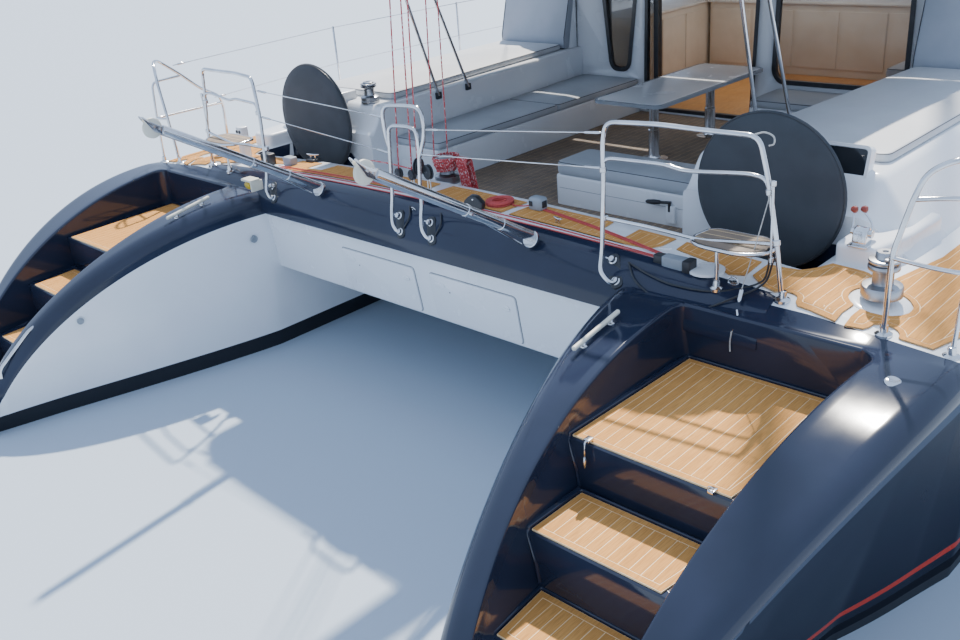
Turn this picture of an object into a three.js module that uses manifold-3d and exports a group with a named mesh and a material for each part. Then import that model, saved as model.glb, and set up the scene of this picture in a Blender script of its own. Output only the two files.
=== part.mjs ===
// Sailing catamaran afloat, millimetres, +X starboard, +Y forward, +Z up.
// The origin is on the centreline, on the waterline, 7.45 m forward of the sterns' tips.
import * as THREE from 'three';
import { mergeVertices } from 'three/addons/utils/BufferGeometryUtils.js';
import Module from 'manifold-3d';

const wasm = await Module();
wasm.setup();

// Driving dimensions of the whole boat.
const sternY = -7450;
const bowY = 8050;
const hullInner = 2032;
const hullOuter = 4350;
const deckZ = 1690;
const bowDeckZ = 1850;
const keelZ = -560;
const soleZ = 1420;
const tunnelZ = 817;
const seatGap = 0.3;

// Aft scoops in the hulls.
const scoopY = -4750;
const scoopRimZ = 1600;
const teakThickness = 12;
const stepTray = 30;

// Aft beam between the hulls.
const beamAftY = -4800;
const beamTopAftY = -4550;
const beamForwardY = -4100;
const beamTopZ = 1800;
const beamCamber = 110;
const beamCamberHalf = 3100;

// Cockpit and deckhouse.
const coamingAftInner = 1798;
const coamingForeInner = 2040;
const coamingTop = 3190;
const coamingFoot = 3540;
const coamingZ = 2150;
const coamingAftY = -3574;
const coamingCrestY = -3340;
const coamingForeY = 140;
const bulkheadY = 200;
const bulkheadThickness = 50;
const houseFrontY = 4900;
const roofZ = 3450;
const wall = 50;
const seatZ = 1820;
const cushionThickness = 80;
const thickCushion = 120;
const benchFront = 1180;

// Rig.
const mastY = 1700;
const mastFootZ = roofZ + 40;
const mastTopZ = 21800;
const gooseneckZ = 4650;
const boomLength = 5900;
const pivotY = mastY - 240;
const pivotRadius = 15;

const colours = {
  navy: [0x101a33, 0.18, 0.0],
  white: [0xe9edf2, 0.3, 0.0],
  teak: [0xc98f4e, 0.7, 0.0],
  steel: [0xc8cbd0, 0.2, 1.0],
  alloy: [0x9aa0a6, 0.4, 1.0],
  black: [0x15171a, 0.55, 0.0],
  cushion: [0x7d8791, 0.75, 0.0],
  canvas: [0x252c36, 0.9, 0.0],
  glass: [0x3a3f45, 0.05, 0.0],
  bronze: [0xa87a43, 0.4, 1.0],
  sail: [0xe4e2da, 0.8, 0.0],
  net: [0x2a2d31, 0.9, 0.0],
};

function materialOf(finish) {
  const [color, roughness, metalness] = colours[finish];
  return new THREE.MeshStandardMaterial({ color, roughness, metalness });
}

function solid(geometry) {
  const plain = geometry.index ? geometry.clone() : geometry;
  plain.deleteAttribute('normal');
  plain.deleteAttribute('uv');
  const merged = mergeVertices(plain, 1e-3);
  return new wasm.Manifold(new wasm.Mesh({
    numProp: 3,
    vertProperties: new Float32Array(merged.attributes.position.array),
    triVerts: new Uint32Array(merged.index.array),
  }));
}

function geometryOf(body) {
  const { numProp, vertProperties, triVerts } = body.getMesh();
  const geometry = new THREE.BufferGeometry();
  const position = new Float32Array(vertProperties.length / numProp * 3);
  for (let i = 0; i < position.length / 3; i += 1) {
    position.set(vertProperties.subarray(i * numProp, i * numProp + 3), i * 3);
  }
  geometry.setAttribute('position', new THREE.BufferAttribute(position, 3));
  geometry.setIndex(new THREE.BufferAttribute(new Uint32Array(triVerts), 1));
  return geometry;
}

function join(bodies) {
  return bodies.reduce((sum, body) => sum.add(body));
}

function block(x, y, z) {
  const geometry = new THREE.BoxGeometry(x[1] - x[0], y[1] - y[0], z[1] - z[0]);
  geometry.translate((x[0] + x[1]) / 2, (y[0] + y[1]) / 2, (z[0] + z[1]) / 2);
  return solid(geometry);
}

// An outline in the XY plane, raised from low to high.
function plate(outline, low, high) {
  const shape = new THREE.Shape(outline.map(([x, y]) => new THREE.Vector2(x, y)));
  const geometry = new THREE.ExtrudeGeometry(shape, { depth: high - low, bevelEnabled: false });
  geometry.translate(0, 0, low);
  return solid(geometry);
}

// An outline in the YZ plane, carried from x low to x high.
function crosswise(outline, low, high) {
  const shape = new THREE.Shape(outline.map(([y, z]) => new THREE.Vector2(y, z)));
  const geometry = new THREE.ExtrudeGeometry(shape, { depth: high - low, bevelEnabled: false });
  geometry.applyMatrix4(new THREE.Matrix4().set(0, 0, 1, low, 1, 0, 0, 0, 0, 1, 0, 0, 0, 0, 0, 1));
  return solid(geometry);
}

// An outline in the XZ plane, carried from y low to y high.
function lengthwise(outline, low, high) {
  const shape = new THREE.Shape(outline.map(([x, z]) => new THREE.Vector2(x, z)));
  const geometry = new THREE.ExtrudeGeometry(shape, { depth: high - low, bevelEnabled: false });
  geometry.applyMatrix4(new THREE.Matrix4().set(1, 0, 0, 0, 0, 0, -1, high, 0, 1, 0, 0, 0, 0, 0, 1));
  return solid(geometry);
}

function rod(from, to, radius, sides = 8, endRadius = radius) {
  const a = new THREE.Vector3(...from);
  const b = new THREE.Vector3(...to);
  const geometry = new THREE.CylinderGeometry(endRadius, radius, a.distanceTo(b), sides);
  const turn = new THREE.Quaternion().setFromUnitVectors(
    new THREE.Vector3(0, 1, 0), b.clone().sub(a).normalize());
  geometry.applyQuaternion(turn);
  geometry.translate((a.x + b.x) / 2, (a.y + b.y) / 2, (a.z + b.z) / 2);
  return solid(geometry);
}

// A skin over rings of equal length, closed by flat ends.
function loft(rings) {
  const count = rings[0].length;
  const position = rings.flat(2);
  const index = [];
  for (let r = 0; r < rings.length - 1; r += 1) {
    for (let i = 0; i < count; i += 1) {
      const a = r * count + i;
      const b = r * count + (i + 1) % count;
      index.push(a, b, b + count, a, b + count, a + count);
    }
  }
  const flat = (ring) => {
    const spread = [0, 1, 2].map((axis) => {
      const values = ring.map((point) => point[axis]);
      return Math.max(...values) - Math.min(...values);
    });
    const thin = spread.indexOf(Math.min(...spread));
    const [u, v] = [[1, 2], [2, 0], [0, 1]][thin];
    return ring.map((point) => new THREE.Vector2(point[u], point[v]));
  };
  const caps = [[0, rings[0]], [rings.length - 1, rings[rings.length - 1]]];
  const winding = (ring) => Math.sign(THREE.ShapeUtils.area(flat(ring)));
  caps.forEach(([r, ring], end) => {
    const outline = flat(ring);
    const turn = winding(ring) > 0;
    const faces = THREE.ShapeUtils.triangulateShape(turn ? outline : outline.slice().reverse(), []);
    faces.forEach((face) => {
      const [a, b, c] = face.map((i) => (turn ? i : count - 1 - i) + r * count);
      const flip = (end === 0) === turn;
      index.push(a, flip ? c : b, flip ? b : c);
    });
  });
  const geometry = new THREE.BufferGeometry();
  geometry.setAttribute('position', new THREE.BufferAttribute(new Float32Array(position), 3));
  geometry.setIndex(index);
  let body = solid(geometry);
  if (body.volume() < 0) {
    const reversed = [];
    for (let i = 0; i < index.length; i += 3) reversed.push(index[i], index[i + 2], index[i + 1]);
    geometry.setIndex(reversed);
    body = solid(geometry);
  }
  return body;
}

// A bent tube: one ring square to the path at each end, and one in the bisecting plane of each bend.
function rail(points, radius, sides = 8) {
  const path = points.map((point) => new THREE.Vector3(...point));
  const along = (i) => path[i + 1].clone().sub(path[i]).normalize();
  const last = path.length - 1;
  let side = new THREE.Vector3(0.31, 0.87, 0.39);
  const rings = path.map((point, i) => {
    const ahead = along(Math.min(i, last - 1));
    const behind = along(Math.max(i - 1, 0));
    const normal = ahead.clone().add(behind).normalize();
    side = side.clone().addScaledVector(behind, -side.dot(behind)).normalize();
    const up = new THREE.Vector3().crossVectors(behind, side);
    const ring = [];
    for (let k = 0; k < sides; k += 1) {
      const a = 2 * Math.PI * (k / sides);
      const spoke = side.clone().multiplyScalar(radius * Math.cos(a)).addScaledVector(up, radius * Math.sin(a));
      const slide = -spoke.dot(normal) / behind.dot(normal);
      ring.push(point.clone().add(spoke).addScaledVector(behind, slide).toArray());
    }
    return ring;
  });
  return loft(rings);
}

const mirrorX = (body) => body.mirror([1, 0, 0]);

const boat = new THREE.Group();

function place(name, finish, body, position = [0, 0, 0]) {
  const mesh = new THREE.Mesh(geometryOf(body), materialOf(finish));
  mesh.name = name;
  mesh.position.set(...position);
  boat.add(mesh);
}

// Sides are built to starboard and mirrored to port.
function placePair(name, finish, body) {
  place(`${name}_starboard`, finish, body);
  place(`${name}_port`, finish, mirrorX(body));
}

// Hull form, starboard.
// The crest of the scoop walls falls from the rim to the water in a long round curve.
const crest = (y, length) => {
  const t = Math.min(Math.max((scoopY - y) / length, 0), 0.999);
  return scoopRimZ * (1 - t ** 2) ** 0.62;
};

const aftShare = (y) => Math.min(Math.max((scoopY - y) / (scoopY - sternY), 0), 1);
const bowShare = (y) => Math.min(Math.max(y / bowY, 0), 1);
const sheerStartY = 3900;
const deckAftY = -4550;
const sideDrop = 110;

// Height of the deck: flat aft, with a sheer towards the bow.
function deckLevel(y) {
  return deckZ + (bowDeckZ - deckZ) * Math.max((y - sheerStartY) / (bowY - sheerStartY), 0) ** 1.5;
}

// The hull's inner and outer sides at deck height.
const innerAt = (y) => hullInner + 700 * aftShare(y) ** 1.2 + 1000 * bowShare(y) ** 2.2;
const outerAt = (y) => hullOuter - 60 * Math.min(Math.max((-3000 - y) / 1750, 0), 1)
  - 660 * aftShare(y) ** 1.8 - 1060 * bowShare(y) ** 2.2;

// Under water the hull rises towards the stern from here.
const runStartY = -2500;

function hullRing(y, grow) {
  const aft = aftShare(y);
  const bow = bowShare(y);
  const inner = innerAt(y);
  const outer = outerAt(y);
  const rise = Math.min(Math.max((y - scoopY) / (deckAftY - scoopY), 0), 1);
  const level = (length) => (aft > 0 ? crest(y, length) : scoopRimZ + (deckLevel(y) - scoopRimZ) * rise);
  const drop = aft > 0 ? 0 : sideDrop * rise * (1 - bow);
  const innerZ = Math.max(level(2720), 90);
  const outerZ = Math.max(level(2560), 80) - drop;
  const flare = 0.1 * (outer - inner) * (1 - 0.4 * bow);
  const lowInner = inner + Math.min(flare * 0.8, 110);
  const lowOuter = outer - flare;
  const middle = (lowInner + lowOuter) / 2;
  const half = (lowOuter - lowInner) / 2;
  const run = Math.min(Math.max((runStartY - y) / (runStartY - sternY), 0), 1);
  const depth = keelZ * (1 - 0.93 * run ** 1.5) * (1 - 0.35 * bow ** 3);
  const corner = Math.min(130, (outer - inner) * 0.4, innerZ * 0.7, outerZ * 0.7);
  const knee = inner + (outer - inner) * 0.58;
  const kneeZ = drop > 0 ? innerZ : innerZ + (outerZ - innerZ) * 0.58;
  const innerArc = [];
  const outerArc = [];
  for (let i = 0; i <= 3; i += 1) {
    const a = Math.PI / 2 * (i / 3);
    innerArc.push([inner + corner * (1 - Math.sin(a)) - grow, y, innerZ - corner * (1 - Math.cos(a)) + grow]);
    outerArc.push([outer - corner * (1 - Math.cos(a)) + grow, y, outerZ - corner * (1 - Math.sin(a)) + grow]);
  }
  const below = [];
  for (let i = 0; i <= 8; i += 1) {
    const a = Math.PI * (i / 8);
    below.push([middle - (half + grow) * Math.cos(a), y, (depth - grow) * Math.sin(a) ** 0.8]);
  }
  return [...innerArc, ...below, ...outerArc, [knee, y, kneeZ + grow]];
}

const hullStations = [sternY, -7350, -7200, -6950, -6650, -6300, -5950, -5550, -5150, scoopY,
  deckAftY, -3000, -1000, 1000, 2500, 4000, 5200, 6300, 7250, bowY];

function hullForm(grow = 0) {
  return loft(hullStations.map((y) => hullRing(y, grow)));
}

// Steering wheels and rudders.
const wheelX = 2537;
const wheelY = -3654;
const wheelZ = 2014;
const wheelRadius = 560;
const footwellX = 3090;
const rudderX = 2985;
const rudderY = -5920;
const rudderTopZ = -300;
const stockRadius = 28;
const stockTopZ = -200;

// Scoop: a straight-walled well that narrows aft, with a floor of steps.
// Columns: forward edge y, aft edge y, z of the step's top, and the tread's inner and outer x at both edges.
const steps = [
  { forward: -4818, aft: -5975, top: 1242, innerFore: 2655, innerAft: 2632, outerFore: 3715, outerAft: 3630 },
  { forward: -6045, aft: -6465, top: 928, innerFore: 2733, innerAft: 2728, outerFore: 3605, outerAft: 3545 },
  { forward: -6500, aft: -6895, top: 564, innerFore: 2795, innerAft: 2832, outerFore: 3545, outerAft: 3500 },
  { forward: -6930, aft: -7330, top: 215, innerFore: 2865, innerAft: 2985, outerFore: 3490, outerAft: 3450 },
];
const scoopOuter = (y) => 3830 - 270 * (scoopY - y) / (scoopY - sternY);

// Inner wall of the scoop, straight between stations. Columns: y, x.
const scoopStations = [[-4700, 2560], [-5400, 2568], [-6000, 2608], [-6570, 2703], [-7030, 2826], [-7660, 3080]];

function scoopInner(y) {
  const i = scoopStations.findIndex((station) => station[0] < y) - 1;
  const [[y0, x0], [y1, x1]] = scoopStations.slice(i, i + 2);
  return x0 + (x1 - x0) * (y - y0) / (y1 - y0);
}

// The space between the well's walls, drawn in by a gap on both sides.
function wellBetween(forward, aft, low, high, gap) {
  const between = scoopStations.filter(([y]) => y < forward && y > aft).map(([y, x]) => [x + gap, y]);
  return plate([
    [scoopInner(aft) + gap, aft], [scoopOuter(aft) - gap, aft],
    [scoopOuter(forward) - gap, forward], [scoopInner(forward) + gap, forward], ...between,
  ], low, high);
}

function scoopWell() {
  const wells = steps.map((step, i) => {
    const forward = i === 0 ? -4790 : steps[i - 1].aft - 5;
    return wellBetween(forward, sternY - 200, step.top - stepTray - teakThickness, 2500, 0);
  });
  return join(wells);
}

function saildrive() {
  return loft([legRing(-480, 150, 62), legRing(-760, 120, 45), legRing(-900, 160, 70)]);
}

const driveX = 2985;
const driveY = -3400;

function legRing(z, chord, half) {
  const ring = [];
  for (let i = 0; i < 10; i += 1) {
    const a = 2 * Math.PI * (i / 10);
    ring.push([driveX + half * Math.sin(a), driveY + chord * Math.cos(a), z]);
  }
  return ring;
}

const shaftZ = -840;
const shaftEndY = driveY - 230;

function hull() {
  const gearcase = rod([driveX, driveY + 150, shaftZ], [driveX, shaftEndY, shaftZ], 75, 12, 48);
  const keel = loft([
    [[2925, -900, -500], [2985, 900, -500], [3045, -900, -500], [2985, -1300, -500]],
    [[2945, -800, -1150], [2985, 500, -1150], [3025, -800, -1150], [2985, -1100, -1150]],
  ]);
  const footwell = block([hullInner - 100, footwellX], [beamForwardY, wheelY + 80],
    [wheelZ - wheelRadius - 30, deckZ + 100]);
  const stockHole = rod([rudderX, rudderY, keelZ], [rudderX, rudderY, stockTopZ + seatGap], stockRadius + 1.5, 12);
  const form = hullForm().subtract(scoopWell()).subtract(footwell).subtract(stockHole);
  return join([form, saildrive(), gearcase, keel]);
}

// Tray of steps in each scoop, with its teak treads.
function stepsTray() {
  const forms = steps.map((step, i) => {
    const forward = i === 0 ? -4790 - seatGap : steps[i - 1].aft - 5 - seatGap;
    const low = step.top - stepTray - teakThickness + seatGap;
    return wellBetween(forward, step.aft - 5 - stepTray, low, step.top - teakThickness, seatGap);
  });
  const risers = steps.slice(1).map((step, i) => wellBetween(
    steps[i].aft - 5 - seatGap, steps[i].aft - 5 - stepTray,
    step.top - stepTray - teakThickness + seatGap, steps[i].top - teakThickness, seatGap));
  const treads = steps.map((step) => plate([
    [step.innerAft, step.aft], [step.outerAft, step.aft], [step.outerFore, step.forward],
    [step.innerFore, step.forward],
  ], step.top - teakThickness - 1, step.top));
  return join([...forms, ...risers, ...treads]);
}

// Bridgedeck: a thick slab between the hulls, with a raked aft face.
function bridgedeck() {
  const under = 150;
  const slab = crosswise([
    [scoopY + 90, tunnelZ], [houseFrontY - 900, tunnelZ + 20], [houseFrontY + 300, tunnelZ + 420],
    [houseFrontY + 300, deckZ - 40], [houseFrontY - under, deckZ - 40], [houseFrontY - under, soleZ],
    [scoopY, soleZ],
  ], -hullInner + seatGap, hullInner - seatGap);
  const hulls = hullForm(seatGap);
  return slab.subtract(hulls).subtract(mirrorX(hulls));
}

// Aft beam: a cambered box with a round aft face, lying on the bridgedeck and the hulls.
const beamTop = (x) => beamTopZ - beamCamber * (x / beamCamberHalf) ** 2;

function beamForm(grow = 0) {
  const stations = [-3100, -2500, -2000, -1000, 0, 1000, 2000, 2500, 3100];
  const rings = stations.map((x) => {
    const top = beamTop(x) + grow;
    const low = soleZ + seatGap;
    return [
      [x, beamForwardY + grow, low], [x, beamForwardY + grow, top], [x, beamTopAftY - grow, top],
      [x, beamTopAftY - 90 - grow, top - 40], [x, beamAftY + 70 - grow, top - 150],
      [x, beamAftY + 15 - grow, top - 260], [x, beamAftY - grow, low],
    ];
  });
  return loft(rings);
}

function aftBeam() {
  const hulls = hullForm(seatGap);
  return beamForm().subtract(hulls).subtract(mirrorX(hulls));
}

// Teak laid on the aft and side decks, following their camber. It ends at the footwell in front of each wheel.
const teakOutline = [
  [3115, -4040], [3115, -4400], [3240, -4560], [3836, -4600], [4030, -4595], [4075, -4430], [4130, -3000],
  [4150, 0], [4080, 1900], [3720, 1900], [3640, -3380], [3520, -3910], [3150, -3925],
];

// Round margins in the teak round the feet of the stern rails.
const railFeet = [[3767, -4592], [4135, -4582], [3143, -4574]];
const footMargin = 75;

function teakDeck() {
  const margins = railFeet.map(([x, y]) => rod([x, y, 1400], [x, y, 2000], footMargin, 20));
  return plate(teakOutline, 1400, 2000).intersect(hullForm(seatGap + teakThickness)).subtract(hullForm(seatGap))
    .subtract(join(margins));
}

// Decks and teak taken out of what stands on them.
const onTeak = (body) => body.subtract(hullForm(teakThickness + 2 * seatGap));

// Inner face of the coaming: the cockpit widens forward.
const coamingInner = (y) => coamingAftInner
  + (coamingForeInner - coamingAftInner) * (y - coamingAftY) / (coamingForeY - coamingAftY);

const consoleX = [3120, 3420];
const consoleY = [-3890, -3300];
const consoleZ = 1830;

// Coaming on each side of the cockpit: a seat top with a sloped outer face, a helm console and a back support.
function coaming() {
  const ring = (y, top) => {
    const inner = coamingInner(y);
    return [
      [inner, y, soleZ + seatGap], [coamingFoot, y, soleZ + seatGap], [coamingFoot, y, deckZ - 30],
      [coamingTop, y, top - 40], [coamingTop - 50, y, top], [inner + 20, y, top], [inner, y, top - 20],
    ];
  };
  const body = loft([
    ring(coamingAftY, 1900), ring(coamingCrestY, coamingZ), ring(-1500, coamingZ), ring(coamingForeY, coamingZ),
  ]);
  const box = block(consoleX, consoleY, [deckZ - 100, consoleZ]);
  const support = crosswise([
    [-40, coamingZ - 10], [coamingForeY, coamingZ - 10], [coamingForeY, 2860], [110, 2860],
  ], coamingForeInner + 60, coamingTop - 60);
  const shaftRoom = rod([wheelX, wheelY + 70, wheelZ], [wheelX, wheelY + 145, wheelZ], 55, 16);
  return join([body, box, support]).subtract(hullForm(seatGap)).subtract(shaftRoom)
    .subtract(pedestalBox(seatGap));
}

function bench(x, y, top) {
  return block(x, y, [soleZ + seatGap, top]);
}

// A cushion over an outline, with a chamfered upper edge.
function cushion(outline, low, thickness) {
  const inset = 22;
  const middle = outline.reduce((sum, point) => [sum[0] + point[0] / outline.length, sum[1] + point[1] / outline.length],
    [0, 0]);
  const ring = (z, cut) => outline.map(([x, y]) => [
    x - cut * Math.sign(x - middle[0]), y - cut * Math.sign(y - middle[1]), z]);
  return loft([ring(low, 0), ring(low + thickness - inset, 0), ring(low + thickness, inset)]);
}

const rectangle = (x, y) => [[x[0], y[0]], [x[1], y[0]], [x[1], y[1]], [x[0], y[1]]];

// Deckhouse: a shell over the saloon.
// Columns: y, half width at the foot, half width at the roof, roof height.
const houseStations = [
  { y: bulkheadY, foot: 3480, roof: 2700, top: roofZ - 30 },
  { y: 2300, foot: 3430, roof: 2600, top: roofZ },
  { y: 3300, foot: 3180, roof: 2350, top: roofZ - 80 },
  { y: 4000, foot: 2800, roof: 1950, top: roofZ - 380 },
  { y: 4800, foot: 2150, roof: 1500, top: roofZ - 1100 },
];
const houseEndY = 4800;

function houseForm(inset, from, to, footZ) {
  const rings = houseStations.map((s, i) => {
    const last = i === houseStations.length - 1;
    const y = i === 0 ? from : (last ? to : s.y);
    const foot = s.foot - inset;
    const roof = s.roof - inset;
    const top = s.top - inset;
    return [
      [foot, y, footZ], [foot - 10, y, footZ + 150], [roof + 60, y, top - 220], [roof - 120, y, top - 60],
      [roof * 0.5, y, top], [-roof * 0.5, y, top],
      [-roof + 120, y, top - 60], [-roof - 60, y, top - 220], [-foot + 10, y, footZ + 150], [-foot, y, footZ],
    ];
  });
  return loft(rings);
}

const houseFootZ = deckZ + 12;
const sideWindow = [[700, 2050], [2900, 2150], [3700, 2250], [3200, 2900], [700, 3000]];
const frontWindow = [[-1150, 2450], [1150, 2450], [1250, 3060], [-1250, 3060]];

function sideWindows(grow) {
  const middle = [2000, 2500];
  const outline = sideWindow.map(([y, z]) => [
    middle[0] + (y - middle[0]) * grow, middle[1] + (z - middle[1]) * grow]);
  return crosswise(outline, 1000, 3700);
}

function frontWindows(grow) {
  const outline = frontWindow.map(([x, z]) => [x * grow, 2750 + (z - 2750) * grow]);
  return lengthwise(outline, 3350, 5400);
}

const houseOuter = houseForm(0, bulkheadY, houseEndY, houseFootZ);
const houseInner = houseForm(wall, bulkheadY - 10, houseEndY - wall, houseFootZ - 10);

function coachroof() {
  const side = sideWindows(1);
  return houseOuter.subtract(houseInner).subtract(side).subtract(mirrorX(side)).subtract(frontWindows(1));
}

const paneShare = 0.9995;

function paneSkin() {
  return houseForm(12, bulkheadY, houseEndY - 12, houseFootZ).subtract(
    houseForm(wall - 14, bulkheadY - 10, houseEndY - wall + 14, houseFootZ - 10));
}

// Aft bulkhead of the saloon: a doorway and two windows, as outlines in the XZ plane.
const doorway = [[-1118, soleZ + 40], [295, soleZ + 40], [345, 3060], [-1090, 3060]];
const tallWindow = [[-1620, 1960], [-1560, 1890], [-1390, 1890], [-1330, 1960], [-1200, 3020], [-1740, 3020]];
const wideWindow = [[530, 1990], [610, 1890], [1880, 1890], [1960, 1970], [1960, 3020], [560, 3020]];

function bulkheadForm(inset) {
  const s = houseStations[0];
  return lengthwise([
    [-s.foot + inset, houseFootZ], [s.foot - inset, houseFootZ], [s.foot - 10 - inset, houseFootZ + 150],
    [s.roof + 60 - inset, s.top - 220 - inset], [s.roof - 120 - inset, s.top - 60 - inset],
    [s.roof * 0.5, s.top - inset], [-s.roof * 0.5, s.top - inset], [-s.roof + 120 + inset, s.top - 60 - inset],
    [-s.roof - 60 + inset, s.top - 220 - inset], [-s.foot + 10 + inset, houseFootZ + 150],
  ], bulkheadY - bulkheadThickness, bulkheadY - seatGap);
}

function throughBulkhead(outline) {
  return lengthwise(outline, bulkheadY - 200, bulkheadY + 200);
}

function bulkhead() {
  const low = block([-coamingForeInner - 600, coamingForeInner + 600], [bulkheadY - bulkheadThickness, bulkheadY - seatGap],
    [soleZ + seatGap, houseFootZ + 50]);
  const hulls = hullForm(seatGap);
  return join([bulkheadForm(0), low]).subtract(hulls).subtract(mirrorX(hulls))
    .subtract(throughBulkhead(doorway))
    .subtract(throughBulkhead(tallWindow))
    .subtract(throughBulkhead(wideWindow));
}

function pane(outline) {
  const middle = outline.reduce((sum, point) => [sum[0] + point[0] / outline.length, sum[1] + point[1] / outline.length],
    [0, 0]);
  const shrunk = outline.map(([x, z]) => [middle[0] + (x - middle[0]) * paneShare, middle[1] + (z - middle[1]) * paneShare]);
  return lengthwise(shrunk, bulkheadY - 32, bulkheadY - 20);
}

// Sliding door: two leaves, parked to port behind the bulkhead, on shoes over the sole.
const leafWidth = 780;
const leafEndX = -976;
const leafThickness = 35;
const outerLeafY = bulkheadY + 15;
const innerLeafY = outerLeafY + leafThickness + 12;

function doorLeaf(y) {
  const leaf = block([leafEndX - leafWidth, leafEndX], [y, y + leafThickness], [soleZ + 25, 3075]);
  const shoes = [100, leafWidth - 100].map((x) => block([leafEndX - x - 40, leafEndX - x + 40],
    [y + 8, y + leafThickness - 8], [soleZ + seatGap, soleZ + 26]));
  return join([leaf, ...shoes]);
}

// Cockpit table on two pedestals.
function table() {
  const top = plate([
    [-150, -2050], [480, -2050], [560, -1970], [560, -120], [480, -40], [-150, -40], [-230, -120], [-230, -1970],
  ], 2050, 2090);
  const legs = [-1550, -500].flatMap((y) => [
    rod([165, y, soleZ + seatGap], [165, y, 2060], 60, 12),
    rod([165, y, soleZ + seatGap], [165, y, soleZ + 20], 150, 12),
  ]);
  return join([top, ...legs]);
}

// Steering wheel with its round cover, on its shaft.
function steeringWheel() {
  const cover = rod([0, 22, 0], [0, -22, 0], wheelRadius, 32);
  const hub = rod([0, 21, 0], [0, 140, 0], 45, 12);
  return join([cover, hub]);
}

// Helm pedestal: a box behind the wheel's shaft, with an instrument pod beside it.
const pedestalFrontY = wheelY + 140 + seatGap;

function pedestalBox(grow = 0) {
  const aft = pedestalFrontY - grow;
  const low = wheelZ - 100 - grow;
  const high = 2240 + grow;
  return crosswise([[aft, low], [-3200 + grow, low], [-3200 + grow, high], [aft + 60, high], [aft, 2120 + grow]],
    wheelX - 150 - grow, wheelX + 150 + grow);
}

function pedestal() {
  const pod = crosswise([
    [-3400, 2060], [-3290, 2060], [-3200, 2300], [-3330, 2310],
  ], wheelX + 151, wheelX + 560).subtract(coamingGrown());
  const link = block([wheelX + 140, wheelX + 160], [-3300, -3240], [2170, 2230]);
  return join([pedestalBox(), pod, link]);
}

// The coaming with the seat gap round it.
function coamingGrown() {
  const ring = (y, top) => {
    const inner = coamingInner(y) - seatGap;
    return [
      [inner, y, soleZ - 10], [coamingFoot + 5, y, soleZ - 10], [coamingFoot + 5, y, deckZ - 30 + seatGap],
      [coamingTop + seatGap, y, top - 40 + seatGap], [coamingTop - 50, y, top + seatGap], [inner, y, top + seatGap],
    ];
  };
  return loft([ring(coamingAftY - seatGap, 1900), ring(coamingCrestY, coamingZ), ring(coamingForeY, coamingZ)]);
}

// A leg that comes down behind the beam and turns into its aft face.
function sternLeg(x, turn) {
  const top = beamTop(x);
  return [[x + turn, beamAftY + 85, top - 192], [x + turn, beamAftY + 20, top - 190],
    [x + turn * 0.7, beamAftY - 5, top - 176], [x + turn * 0.2, beamAftY - 14, top - 120],
    [x, beamAftY + 5, top - 40], [x, beamAftY + 30, top + 60]];
}

// The beam and the hulls, taken out of what stands on them.
function cutByDecks(body) {
  const hulls = hullForm(seatGap);
  return body.subtract(beamForm(seatGap)).subtract(hulls).subtract(mirrorX(hulls));
}

// Rails of the stern: a frame of two bent tubes with a slatted seat between them.
const tube = 16;

function pushpit(legX, turn) {
  const frame = rail([
    ...sternLeg(legX, turn), [(legX + 1931) / 2, -4728, 2283], [1935, -4722, 2540], [1985, -4715, 2630], [2100, -4700, 2668],
    [2305, -4670, 2680], [2880, -4610, 2664], [2975, -4595, 2620], [3015, -4586, 2500], [3025, -4586, 2401],
    [3095, -4590, 2033], [3143, -4574, deckZ - 40]], tube);
  const middle = rail([[1930, -4725, 2350], [1960, -4720, 2425], [2040, -4710, 2440], [2363, -4670, 2437],
    [2494, -4650, 2408], [2903, -4600, 2436], [3000, -4590, 2410], [3030, -4586, 2340]], 13);
  const low = rail([[legX - 2, -4735, 2040], [2278, -4700, 2024], [2607, -4640, 1980], [3095, -4590, 2030]], 13);
  const foot = rod([3143, -4574, deckZ - 60], [3143, -4574, deckZ + 12], 50, 12);
  const seat = plate([
    [2530, -4640], [2640, -4725], [2950, -4735], [3080, -4600], [3000, -4400], [2560, -4400],
  ], 1970, 1990);
  const leg = rod([2730, -4640, deckZ - 20], [2730, -4640, 1975], tube);
  return cutByDecks(join([frame, middle, low, foot, seat, leg]));
}

function sternHoop() {
  const inner = rail([
    ...sternLeg(-138, 90), [-124, -4750, 2324], [-95, -4750, 2400], [-30, -4750, 2440], [140, -4750, 2456],
    [195, -4750, 2400], [214, -4750, 2285], [189, -4760, 1965], ...sternLeg(205, 105).reverse()], tube);
  const outer = rail([[-124, -4750, 2290], [-165, -4750, 2380], [-165, -4750, 2470], [-110, -4750, 2550],
    [0, -4750, 2600], [160, -4750, 2616], [260, -4750, 2560], [299, -4750, 2470], [285, -4750, 2370],
    [212, -4750, 2270]], tube);
  return join([inner, outer]).subtract(beamForm(seatGap));
}

function davit(x) {
  const foot = [x, -4690, 1790];
  const tip = [x, -6100, 2606];
  const arm = rod(foot, tip, 36, 12);
  const bracket = block([x - 45, x + 45], [-4760, -4600], [1650, 1840]);
  const brace = rod([x - 15, -4740, 1690], [x - 15, -5300, 2130], 9);
  return join([arm, bracket, brace]).subtract(beamForm(seatGap));
}

// Winch: base, drum and head.
function winch(radius, height) {
  const profile = [[0, 0], [radius, 0], [radius, height * 0.28], [radius * 0.62, height * 0.36],
    [radius * 0.55, height * 0.75], [radius * 0.85, height * 0.82], [radius * 0.85, height * 0.95],
    [radius * 0.5, height], [0, height]];
  const geometry = new THREE.LatheGeometry(profile.map(([r, z]) => new THREE.Vector2(r, z)), 20);
  geometry.rotateX(Math.PI / 2);
  return solid(geometry);
}

// Mast with two pairs of spreaders.
function mastTube(grow = 0) {
  const section = (z, scale) => {
    const ring = [];
    for (let i = 0; i < 12; i += 1) {
      const a = 2 * Math.PI * (i / 12);
      ring.push([(105 * scale + grow) * Math.sin(a), mastY + (170 * scale + grow) * Math.cos(a), z]);
    }
    return ring;
  };
  return loft([section(mastFootZ, 1), section(16000, 1), section(mastTopZ, 0.7)]);
}

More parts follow.
